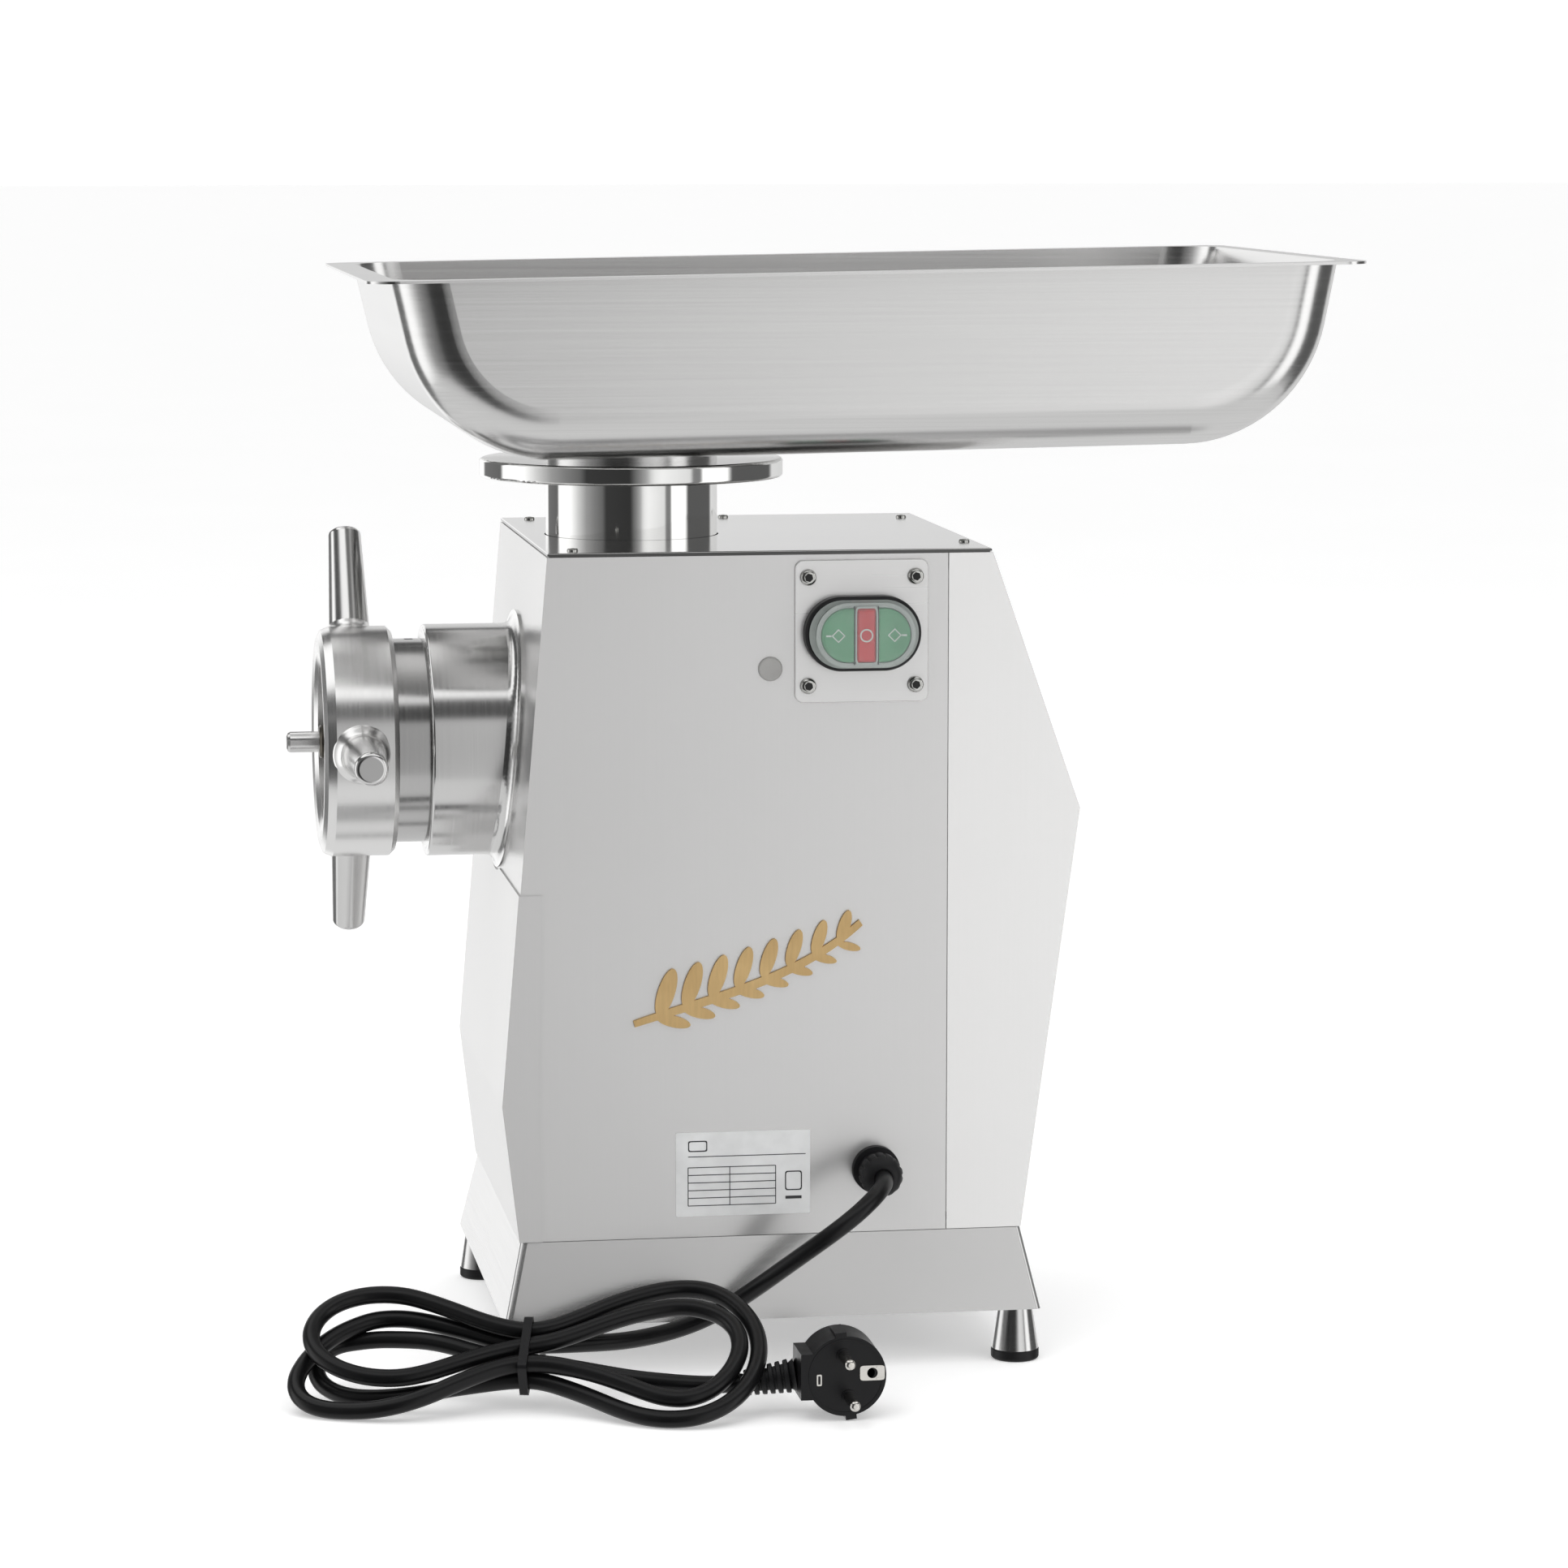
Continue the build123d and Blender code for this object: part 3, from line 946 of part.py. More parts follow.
RELIEF_START = Vector(PLUG_X - PLUG_R * 1.12, PLUG_Y[1] - 8.5, PLUG_Z - 2.8)
RELIEF_END = Vector(*TAIL_ROUTE[0])
with BuildPart() as plug_strain_relief:
    relief_run = RELIEF_END - RELIEF_START
    with BuildSketch(Plane(RELIEF_START, z_dir=relief_run)):
        Circle(8.0)
    with BuildSketch(Plane(RELIEF_END, z_dir=relief_run)):
        Circle(5.6)
    loft()
save(plug_strain_relief, "plug_strain_relief")
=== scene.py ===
import bpy
import bmesh
import json
import math
from mathutils import Matrix, Vector


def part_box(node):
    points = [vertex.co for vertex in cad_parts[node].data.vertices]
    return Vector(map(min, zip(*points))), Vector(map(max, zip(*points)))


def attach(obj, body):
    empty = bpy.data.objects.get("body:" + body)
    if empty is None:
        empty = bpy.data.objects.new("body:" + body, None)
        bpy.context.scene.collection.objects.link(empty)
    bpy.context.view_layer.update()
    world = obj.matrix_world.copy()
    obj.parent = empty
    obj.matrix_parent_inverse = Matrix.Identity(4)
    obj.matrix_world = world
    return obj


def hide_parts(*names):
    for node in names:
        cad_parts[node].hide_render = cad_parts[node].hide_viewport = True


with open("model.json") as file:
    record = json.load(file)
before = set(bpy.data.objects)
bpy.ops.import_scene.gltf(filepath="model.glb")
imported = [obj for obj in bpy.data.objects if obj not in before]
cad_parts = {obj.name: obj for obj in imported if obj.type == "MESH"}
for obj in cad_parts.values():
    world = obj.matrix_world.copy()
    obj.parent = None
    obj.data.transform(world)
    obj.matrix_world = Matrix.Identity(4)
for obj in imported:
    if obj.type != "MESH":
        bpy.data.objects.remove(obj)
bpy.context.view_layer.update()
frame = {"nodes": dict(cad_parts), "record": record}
NODES = frame["nodes"]

MM = 0.001


# ---- camera ---------------------------------------------------------------------------------
SENSOR_WIDTH, FOCAL_LENGTH = 36.0, 118.6
CAMERA_AT = (-0.3815, -2.4354, 0.5804)
CAMERA_PITCH, CAMERA_YAW = math.radians(82.6), math.radians(-8.8)

camera_data = bpy.data.cameras.new("camera")
camera_data.sensor_width = SENSOR_WIDTH
camera_data.lens = FOCAL_LENGTH
camera_data.clip_start = 0.05
camera = bpy.data.objects.new("camera", camera_data)
camera.location = CAMERA_AT
camera.rotation_euler = (CAMERA_PITCH, 0, CAMERA_YAW)
bpy.context.collection.objects.link(camera)
bpy.context.scene.camera = camera


# ---- material tools -------------------------------------------------------------------------
NOISE_LOW, NOISE_HIGH = 0.3, 0.7      # most values of a noise lie between these


class Mat:
    """A node material built with short calls around one Principled shader."""

    def __init__(self, name):
        self.mat = bpy.data.materials.new(name)
        self.mat.use_nodes = True
        self.tree = self.mat.node_tree
        self.tree.nodes.clear()
        self.out = self.tree.nodes.new("ShaderNodeOutputMaterial")
        self.bsdf = self.tree.nodes.new("ShaderNodeBsdfPrincipled")
        self.tree.links.new(self.bsdf.outputs[0], self.out.inputs[0])
        self.coord = self.tree.nodes.new("ShaderNodeTexCoord")

    def node(self, kind, **values):
        made = self.tree.nodes.new(kind)
        for key, value in values.items():
            if hasattr(made, key) and key not in made.inputs:
                setattr(made, key, value)
            else:
                self.put(made, key, value)
        return made

    def put(self, node, key, value):
        socket = node.inputs[key]
        if isinstance(value, bpy.types.NodeSocket):
            self.tree.links.new(value, socket)
        else:
            socket.default_value = value

    def set(self, **values):
        for key, value in values.items():
            self.put(self.bsdf, key.replace("_", " "), value)
        return self

    def stretch(self, scale):
        mapping = self.node("ShaderNodeMapping")
        self.put(mapping, "Vector", self.coord.outputs["Object"])
        self.put(mapping, "Scale", scale)
        return mapping.outputs[0]

    def noise(self, scale=(1, 1, 1), detail=4.0, rough=0.6):
        """Noise in object space, with so many features to a metre along each axis."""
        made = self.node("ShaderNodeTexNoise")
        self.put(made, "Vector", self.stretch(scale))
        self.put(made, "Scale", 1.0)
        self.put(made, "Detail", detail)
        self.put(made, "Roughness", rough)
        return made.outputs["Fac"]

    def facing(self, axis):
        """How squarely the surface looks along one of the object's axes, from 0 to 1."""
        split = self.node("ShaderNodeSeparateXYZ")
        self.put(split, "Vector", self.coord.outputs["Normal"])
        return self.math("ABSOLUTE", split.outputs[axis])

    def ramp(self, source, low, high, a=0.0, b=1.0):
        """The part of a value between two limits, spread from a to b."""
        made = self.node("ShaderNodeMapRange")
        self.put(made, "Value", source)
        self.put(made, "From Min", low)
        self.put(made, "From Max", high)
        self.put(made, "To Min", a)
        self.put(made, "To Max", b)
        return made.outputs[0]

    def spread(self, noise, a=0.0, b=1.0):
        """A noise spread from a to b."""
        return self.ramp(noise, NOISE_LOW, NOISE_HIGH, a, b)

    def mix(self, factor, a, b):
        """One of two colours, or a mixture."""
        made = self.node("ShaderNodeMix", data_type="RGBA")
        self.put(made, 0, factor)
        self.put(made, 6, a)
        self.put(made, 7, b)
        return made.outputs[2]

    def between(self, factor, a, b):
        """One of two numbers, or a mixture."""
        made = self.node("ShaderNodeMix", data_type="FLOAT")
        self.put(made, 0, factor)
        self.put(made, 2, a)
        self.put(made, 3, b)
        return made.outputs[0]

    def math(self, operation, a, b=0.0):
        made = self.node("ShaderNodeMath", operation=operation)
        self.put(made, 0, a)
        self.put(made, 1, b)
        return made.outputs[0]

    def bump(self, height, strength=0.1, distance=0.0002):
        made = self.node("ShaderNodeBump")
        self.put(made, "Strength", strength)
        self.put(made, "Distance", distance)
        self.put(made, "Height", height)
        self.put(self.bsdf, "Normal", made.outputs[0])
        return self

    def fix(self, key, value):
        """Sets a number that is the same all over the surface, on the shader's own socket."""
        self.bsdf.inputs[key].default_value = value
        return self


def linear(level):
    """A screen level from 0..255 as a linear one."""
    level /= 255
    return level / 12.92 if level < 0.04045 else ((level + 0.055) / 1.055) ** 2.4


def rgb(r, g, b):
    return (linear(r), linear(g), linear(b), 1.0)


def steel(tone):
    """A faintly warm grey."""
    return (tone, tone * 0.9952, tone * 0.988, 1)


def scratches(m, grain):
    """Fine scratches along one axis, with longer and wider ones among them."""
    fine = m.noise(grain, 2.0, 0.6)
    wide = m.noise(tuple(g * 0.3 for g in grain), 2.0, 0.5)
    return m.math("ADD", m.math("MULTIPLY", fine, 0.7), m.math("MULTIPLY", wide, 0.3))


def brushed(name, grain, tone=0.76, rough=0.27, spread=0.03, streaks=0.025, bump=0.012, cloud=0.05,
            ends=None, scatter=0.0, flats_only=False):
    """Brushed steel: long fine scratches along one axis and a faint cloudiness.

    ends is the grain of the faces that look along X, where it isn't the same as on the sides. scatter is the
    share of light that the dense scratches of a flat sheet throw wide. With flats_only, the drawn corners are
    burnished, and only the flat walls scatter.
    """
    m = Mat(name)
    streak = scratches(m, grain)
    if ends:
        streak = m.between(m.ramp(m.facing("X"), 0.45, 0.55), streak, scratches(m, ends))
    clouds = m.noise((7, 7, 7), 3.0, 0.5)
    base = m.mix(m.spread(streak), steel(tone * (1 - streaks)), steel(tone * (1 + streaks * 0.6)))
    base = m.mix(m.ramp(clouds, 0.35, 0.7, 0.0, cloud), base, steel(tone * 0.6))
    shine = 1.0 - scatter
    if flats_only:
        squarely = m.math("MAXIMUM", m.facing("X"), m.facing("Y"))
        shine = m.ramp(squarely, 0.985, 0.997, 1.0, 1.0 - scatter)
    m.set(Base_Color=base, Metallic=shine, Roughness=m.spread(streak, rough - spread, rough + spread))
    return m.bump(streak, bump, 0.00004)


def paint_dark_edge_reflection(m, dark):
    """Paints the cut edges of a level sheet dark, as a painted dark reflection, which is seen end-on as one
    thin dark line.
    """
    base = m.bsdf.inputs["Base Color"].links[0].from_socket
    m.put(m.bsdf, "Base Color", m.mix(m.ramp(m.facing("Z"), 0.3, 0.7), steel(dark), base))
    return m


def metal(name, colour, rough, grain=(700, 700, 700), streaks=0.1, bump=0.08):
    """A coloured metal with an even fine texture and a little wear in its shine."""
    m = Mat(name)
    fine = m.noise(grain, 3.0, 0.6)
    wear = m.noise((45, 45, 45), 3.0, 0.55)
    deep = tuple(c * (1 - streaks) for c in colour) + (1,)
    m.set(Base_Color=m.mix(m.spread(fine), deep, (*colour, 1)), Metallic=1.0,
          Roughness=m.spread(wear, rough * 0.8, rough * 1.25))
    return m.bump(fine, bump, 0.00005)


def plastic(name, colour, rough=0.4, grain=900.0, strength=0.15):
    """Moulded plastic or rubber: fine pits and a slight unevenness of colour and gloss."""
    m = Mat(name)
    pits = m.noise((grain, grain, grain), 2.0, 0.5)
    clouds = m.noise((60, 60, 60), 3.0, 0.5)
    deep = tuple(c * 0.8 for c in colour[:3]) + (1,)
    m.set(Base_Color=m.mix(m.spread(clouds), deep, colour),
          Roughness=m.spread(clouds, rough * 0.85, rough * 1.15))
    return m.bump(pits, strength, 0.00004)


def silicone(name):
    """Clear, slightly milky silicone: what lies under it shows through, washed out."""
    m = Mat(name)
    haze = m.noise((160, 160, 160), 3.0, 0.5)
    m.set(Base_Color=m.mix(m.spread(haze), (0.50, 0.56, 0.54, 1), (0.62, 0.66, 0.65, 1)),
          Roughness=m.spread(haze, 0.10, 0.20), Alpha=0.11)
    return m.bump(haze, 0.05, 0.0001)


# ---- finishes: one for each slot of the record, and some nodes' own ---------------------------
HOUSING = dict(grain=(1500, 9, 9), ends=(9, 1500, 9), rough=0.25, spread=0.015, streaks=0.012, bump=0.0004,
               scatter=0.30)
MATS = {
    "brushed_sheet": brushed("brushed_sheet", tone=0.70, **HOUSING),
    "tray_sheet": brushed("tray_sheet", (7, 60, 1300), rough=0.22, tone=0.72, streaks=0.06, bump=0.004,
                          ends=(60, 7, 1300), scatter=0.20, flats_only=True),
    "polished_steel": metal("polished_steel", (0.80, 0.80, 0.79), 0.06, (60, 60, 60), 0.04, 0.0),
    "turned_steel": brushed("turned_steel", (1500, 30, 30), rough=0.20, tone=0.74),
    "inner_steel": brushed("inner_steel", (900, 900, 60), rough=0.34, tone=0.55),
    "cast_aluminium": metal("cast_aluminium", (0.62, 0.63, 0.64), 0.5, (500, 500, 500), 0.15, 0.3),
    "bronze": metal("bronze", (0.13, 0.12, 0.10), 0.36),
    "black_rubber": plastic("black_rubber", (0.010, 0.010, 0.011, 1), 0.5),
    "black_plastic": plastic("black_plastic", (0.009, 0.009, 0.010, 1), 0.36),
    "cord_jacket": plastic("cord_jacket", (0.006, 0.006, 0.0065, 1), 0.34, 1500.0, 0.06),
    "grey_plastic": plastic("grey_plastic", rgb(158, 157, 155), 0.5),
    "clear_silicone": silicone("clear_silicone"),
    "green_key": plastic("green_key", rgb(82, 146, 107), 0.38),
    "red_key": plastic("red_key", rgb(192, 26, 42), 0.38),
    "gold_leaf": metal("gold_leaf", (0.88, 0.62, 0.30), 0.46, (600, 600, 60), 0.10),
    "label_film": plastic("label_film", rgb(226, 227, 227), 0.34, 500.0, 0.03),
    "copper": metal("copper", (0.62, 0.30, 0.17), 0.35, (60, 1500, 1500)),
    "plated_pins": metal("plated_pins", (0.76, 0.74, 0.70), 0.18, (200, 200, 200), 0.06, 0.02),
}
for black in ("black_rubber", "black_plastic", "cord_jacket"):
    MATS[black].fix("Specular IOR Level", 0.28)

OWN_FINISH = {
    "plinth": brushed("plinth_sheet", (7, 7, 1800), rough=0.19, tone=0.62, bump=0.0004, cloud=0.14,
                      scatter=0.22),
    "lower_front_panel": brushed("panel_sheet", tone=0.68, **HOUSING),
    "rear_cover": brushed("rear_sheet", tone=0.87, **HOUSING),
    # the top plate's edges carry a painted dark reflection
    "top_plate": paint_dark_edge_reflection(brushed("top_sheet", (6, 1400, 6), rough=0.14, tone=0.82), 0.10),
    "control_plate": brushed("control_sheet", (7, 7, 1800), rough=0.30, tone=0.80, streaks=0.01, bump=0.0004,
                             scatter=0.30),
    "ring_nut": brushed("ring_steel", (1800, 14, 14), rough=0.24, tone=0.84, streaks=0.02, bump=0.006,
                        cloud=0.10),
    "ring_handles": brushed("handle_steel", (40, 40, 40), rough=0.19, tone=0.72, cloud=0.10),
    "receiver_sleeve": brushed("sleeve_steel", (1800, 14, 14), rough=0.17, tone=0.72, bump=0.006, cloud=0.10),
    "grinding_barrel": brushed("barrel_steel", (1800, 14, 14), rough=0.18, tone=0.54, bump=0.006, cloud=0.10),
    "foot_cups": brushed("cup_steel", (24, 24, 1500), rough=0.20, tone=0.66, cloud=0.10),
    "casing_screws": metal("screw_steel", (0.56, 0.56, 0.54), 0.12, (90, 90, 90), 0.08, 0.0),
}
PRINT = plastic("label_print", rgb(52, 52, 54), 0.5)
# milky silicone for the boot's rims, with a painted highlight on them
RIM_HIGHLIGHT = plastic("milky_rim_highlight", rgb(182, 188, 185), 0.3).fix("Alpha", 0.72)
MARK = plastic("key_mark", rgb(214, 222, 217), 0.4).fix("Alpha", 0.8)
# near-black painted shade for the recessed sockets of the screw heads
SOCKET_SHADE = plastic("socket_shadow", (0.012, 0.012, 0.012, 1), 0.6)

SLOTS = {row["node"]: row["material_slot"] for row in frame["record"]["subparts"]}
for node_name, obj in NODES.items():
    obj.data.materials.clear()
    obj.data.materials.append(OWN_FINISH.get(node_name, MATS[SLOTS[node_name]]).mat)


# ---- mains lead -----------------------------------------------------------------------------
HANK_AT = Vector((-0.140, -0.1625, 0.0251))
HANK_TILT, HANK_YAW = math.radians(30), math.radians(-13)
HANK_ALONG = Vector((math.cos(HANK_YAW), math.sin(HANK_YAW), 0))
HANK_OUT = Matrix.Rotation(HANK_TILT, 3, HANK_ALONG) @ Vector((0, 0, 1))
HANK_UP = HANK_OUT.cross(HANK_ALONG)


def in_hank(along, up, out):
    """A point of the hank, in millimetres from its middle along its own three axes."""
    return HANK_AT + (HANK_ALONG * along + HANK_UP * up + HANK_OUT * out) * MM


LEAD_ROUTE = [
    (0.022, -0.1268, 0.093), (0.0218, -0.1355, 0.0929), (0.0186, -0.1454, 0.0916),
    (0.0124, -0.154, 0.088), (0.0035, -0.1595, 0.082), (-0.007, -0.1605, 0.0745),
    (-0.018, -0.156, 0.0655), (-0.029, -0.1485, 0.0555), (-0.0395, -0.140, 0.0455),
    (-0.050, -0.1325, 0.0363), (-0.0615, -0.129, 0.0293), (-0.074, -0.1305, 0.0254),
    (-0.087, -0.1355, 0.0238), (-0.101, -0.1425, 0.0237), (-0.1145, -0.148, 0.0246),
    (-0.128, -0.1518, 0.0254)]
HANK_TURNS = [
    # from the lead through the tie, once round the large left bend
    (-2, 9, -4.6), (-12, 8.3, -4.2), (-22, 10.5, -4.2), (-34, 15.5, -4.2), (-46, 19.5, -4.2),
    (-58, 23, -4.2), (-68, 24.5, -4.2), (-79, 23.5, -4.2), (-88, 19, -4.2), (-97, 12, -4.2),
    (-104, 3, -4.2), (-109, -7.5, -4.2), (-111, -18, -4.2), (-108.5, -27, -4), (-102.5, -33.5, -3.5),
    (-94, -37, -3), (-83, -39, -1.5), (-72, -39.5, 0), (-60, -38, 2), (-48, -33.5, 3.5),
    (-37, -26.5, 4.2), (-26, -19.5, 4.2), (-16, -14.5, 4.2), (-6, -12.3, 4.2),
    # the smaller right bend
    (5, -12.5, 4.2), (16, -15, 4.2), (28, -19, 4.2), (40, -24.5, 4.2), (51, -30, 4.2), (60, -33, 4.2),
    (69, -33, 4.2), (77.5, -28.5, 4.2), (84, -20.5, 4.2), (88.5, -10, 4.2), (90, 1, 4.2), (87.5, 12, 4.2),
    (80.5, 20.5, 4.2), (70, 25.5, 4.2), (60, 26.5, 4.2), (49, 24, 4.2), (38, 20, 4.2), (27, 14.5, 4.2),
    (16, 8, 4.2), (4.5, 2, 4.2), (-6, -0.7, 4.2),
    # the upper left bend, in front of the others
    (-17, -4, 4.2), (-28, -8.5, 4.2), (-40, -14.5, 4.2), (-51, -20, 4.2), (-62, -23.3, 4.2),
    (-74, -23.3, 4.2), (-85, -20.5, 4.2), (-95, -15, 4.2), (-103, -6.5, 4.2), (-106.5, 4, 4.2),
    (-104.5, 15, 4.2), (-98, 24, 4.2), (-88, 29.5, 4.2), (-77, 31.5, 4.2), (-65, 30.5, 4.2),
    (-53, 26, 4.2), (-41, 20.5, 4.2), (-30, 15, 4.2), (-18, 10.5, 4.2), (-7, 8.3, 4.2),
    # the larger right bend
    (4, 11, 4.2), (15, 17.5, 4.2), (27, 26.5, 3.5), (39, 33.5, 3), (50, 38.5, 2.5), (60, 41, 2),
    (70, 40.5, 2), (80, 36, 2), (89, 27, 2), (95.5, 15.5, 2), (98.5, 2, 2), (97.5, -12, 2), (93, -25, 2),
    (85, -35, 1.5), (74, -41, 0.8), (62, -42.3, 0), (50, -40, -1), (38, -34, -2.5), (26, -26.5, -3.5),
    (14, -20, -4.2), (3, -15.5, -4.2), (-7, -14, -4.2),
    # the small left bend, behind
    (-18, -15.5, -4.2), (-29, -18, -4.2), (-40, -20.5, -4.2), (-52, -24, -4.6), (-64, -25.5, -5.5),
    (-75, -25, -7), (-85, -22.5, -9), (-94, -17.5, -11), (-101.5, -10, -12.4), (-105, -0.5, -12.6),
    (-103, 9, -12.6), (-96.5, 15, -12.4), (-87, 16.5, -11.5), (-77, 16, -9.5), (-66, 14, -7.5),
    (-55, 11.5, -5.5), (-44, 8, -4.6), (-32, 3, -4.2), (-20, -0.8, -4.2), (-8, -2.2, -4.2),
    # out through the tie to the plug
    (4, -4.5, -4), (16, -7.5, -3.3), (29, -11.5, -2.3), (43, -15.5, -1.2)]
TAIL_ROUTE = [(-0.087, -0.1908, 0.0158), (-0.075, -0.1917, 0.0146), (-0.064, -0.1916, 0.014),
              (-0.0525, -0.1907, 0.0141)]


def nurbs(name, points, radius):
    """A round cord along one smooth NURBS curve."""
    data = bpy.data.curves.new(name, "CURVE")
    data.dimensions = "3D"
    data.resolution_u = 6
    data.bevel_depth = radius
    data.bevel_resolution = 7
    data.use_fill_caps = True
    line = data.splines.new("NURBS")
    line.points.add(len(points) - 1)
    for spot, point in zip(line.points, points):
        spot.co = (*point, 1.0)
    line.order_u = 3
    line.use_endpoint_u = True
    obj = bpy.data.objects.new(name, data)
    bpy.context.collection.objects.link(obj)
    return obj


CORD_RADIUS = 0.004
cord_points = [Vector(p) for p in LEAD_ROUTE]
cord_points += [in_hank(*p) for p in HANK_TURNS]
cord_points += [Vector(p) for p in TAIL_ROUTE]
mains_cord = nurbs("mains_cord", cord_points, CORD_RADIUS)
mains_cord.data.materials.append(MATS["cord_jacket"].mat)
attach(mains_cord, "root")
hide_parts("cord_lead", "cord_hank", "cord_tail")


# ---- shape tools ------------------------------------------------------------------------------
def piece(name, bm, body, slot, finish=None, smooth=35.0):
    """Turns a bmesh in metres into a piece with its finish and its body; where no finish is given, the slot's
    material.
    """
    bmesh.ops.recalc_face_normals(bm, faces=bm.faces)
    data = bpy.data.meshes.new(name)
    bm.to_mesh(data)
    bm.free()
    obj = bpy.data.objects.new(name, data)
    bpy.context.collection.objects.link(obj)
    data.materials.append((finish or MATS[slot]).mat)
    if smooth:
        data.polygons.foreach_set("use_smooth", [True] * len(data.polygons))
        data.set_sharp_from_angle(angle=math.radians(smooth))
    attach(obj, body)
    return obj


def axes(direction):
    """Two unit vectors across a direction, the first one level."""
    ahead = Vector(direction).normalized()
    side = Vector((0, 0, 1)).cross(ahead) if abs(ahead.z) < 0.95 else Vector((1, 0, 0))
    side.normalize()
    return ahead, side, ahead.cross(side)


def join_loops(bm, loops):
    """Faces between each loop of vertices and the next, and from the last back to the first."""
    around = len(loops[0])
    for one, two in zip(loops, loops[1:] + loops[:1]):
        for k in range(around):
            bm.faces.new((one[k], one[(k + 1) % around], two[(k + 1) % around], two[k]))


def turns(around):
    """The angles of so many points evenly round a circle."""
    return [2 * math.pi * k / around for k in range(around)]


def lathe(bm, origin, direction, profile, around=64, swell=None):
    """A closed turned shape.

    profile is (along, radius) in millimetres, out from the bore and back; swell, if given, scales the radius
    by the place along the axis and the angle.
    """
    ahead, side, up = axes(direction)
    start = Vector(origin) * MM
    loops = []
    for along, radius in profile:
        loop = []
        for turn in turns(around):
            r = radius * (swell(along, turn) if swell else 1.0)
            offset = ahead * along + side * r * math.cos(turn) + up * r * math.sin(turn)
            loop.append(bm.verts.new(start + offset * MM))
        loops.append(loop)
    join_loops(bm, loops)


def frame_plate(bm, x, z, inner, outer, y0, y1, around=48):
    """A flat closed plate with a hole; inner and outer give the radius for an angle, in mm."""
    loops = []
    for y, edge in ((y0, inner), (y0, outer), (y1, outer), (y1, inner)):
        spots = [(x + edge(t) * math.cos(t), y, z + edge(t) * math.sin(t)) for t in turns(around)]
        loops.append([bm.verts.new([c * MM for c in spot]) for spot in spots])
    join_loops(bm, loops)


def bar(bm, low, high):
    """A rectangular bar between two corners in millimetres."""
    low, high = Vector(low) * MM, Vector(high) * MM
    for v in bmesh.ops.create_cube(bm, size=1.0)["verts"]:
        v.co = Vector([(c + 0.5) * (b - a) + a for c, a, b in zip(v.co, low, high)])


def circle(radius):
    """Radius by angle, as for the outlines below, all in millimetres."""
    return lambda t: radius


def rounded_box(half_w, half_h, power=6.0):
    """A rectangle with round corners; a higher power is squarer."""
    return lambda t: (abs(math.cos(t) / half_w) ** power + abs(math.sin(t) / half_h) ** power) ** (-1 / power)


def stadium(half_w, half_h):
    """The radius, at an angle, of an oval with straight top and bottom and round ends."""
    middle = half_w - half_h

    def radius(t):
        across, rise = abs(math.cos(t)), abs(math.sin(t))
        if across * half_h <= middle * rise:
            return half_h / rise
        return middle * across + math.sqrt(half_h ** 2 - (middle * rise) ** 2)
    return radius


def hexagon(half_flats, turned):
    """A hexagon by half the distance across its flats, turned by an angle in radians."""
    return lambda t: half_flats / math.cos((t + turned) % (math.pi / 3) - math.pi / 6)


def diamond(half_w, half_h):
    return lambda t: 1.0 / (abs(math.cos(t)) / half_w + abs(math.sin(t)) / half_h)


# ---- mains plug, strain relief and gland --------------------------------------------------------
PLUG_X, PLUG_FACE_Y, PLUG_Z = -9.0, -211.0, 20.6
PIN_OUT = 9.5                         # of each pin from the plug's middle
PLUG_LEAN = math.radians(7.0)
RELIEF_START = Vector((-29.38, -193.5, 17.8))
RELIEF_END = Vector((-54.0, -190.8, 14.0))
RELIEF_BORE, RELIEF_BUTT = 4.05, 7.6
RIBS, RIBS_FROM, RIBS_SPAN, RIB_SHARE, RIB_DEPTH = 6, 0.10, 0.86, 0.66, 1.7


def relief_radius(share):
    """The strain relief's taper, by the share of its length."""
    return 7.9 - 2.3 * share


relief_run = RELIEF_END - RELIEF_START
relief_long = relief_run.length
profile = [(0.0, RELIEF_BORE), (0.0, RELIEF_BUTT)]
for rib in range(RIBS):
    first = RIBS_FROM + RIBS_SPAN * rib / RIBS
    last = RIBS_FROM + RIBS_SPAN * (rib + RIB_SHARE) / RIBS
    start, stop = relief_long * first, relief_long * last
    r0, r1 = relief_radius(first), relief_radius(last)
    profile += [(start, r0 - RIB_DEPTH), (start + 0.15, r0 - 0.35), (start + 0.5, r0), (stop - 0.4, r1),
                (stop, r1 - 0.35), (stop + 0.1, r1 - RIB_DEPTH)]
profile += [(relief_long - 0.3, 4.7), (relief_long, RELIEF_BORE)]
bm = bmesh.new()
lathe(bm, RELIEF_START, relief_run, profile, 40)
ribbed_relief = piece("ribbed_relief", bm, "root", "black_rubber", smooth=30)
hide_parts("plug_strain_relief")

EARTH_Z = PLUG_Z + 1.2
bm = bmesh.new()
frame_plate(bm, PLUG_X + 11.8, EARTH_Z, circle(2.4), rounded_box(5.6, 3.4, 8), PLUG_FACE_Y - 0.5,
            PLUG_FACE_Y + 0.2)
for side in (-1, 1):
    clip_z = EARTH_Z + side * 2.6
    bar(bm, (PLUG_X + 13.6, PLUG_FACE_Y - 0.8, clip_z - 0.5),
        (PLUG_X + 17.0, PLUG_FACE_Y + 0.2, clip_z + 0.5))
earth_plate = piece("earth_plate", bm, "root", "plated_pins")
bm = bmesh.new()
frame_plate(bm, PLUG_X - 12.2, PLUG_Z - 1.4, rounded_box(0.55, 1.9, 8), rounded_box(1.15, 2.6, 8),
            PLUG_FACE_Y - 0.25, PLUG_FACE_Y + 0.2)
plug_window = piece("plug_window", bm, "root", "plated_pins")

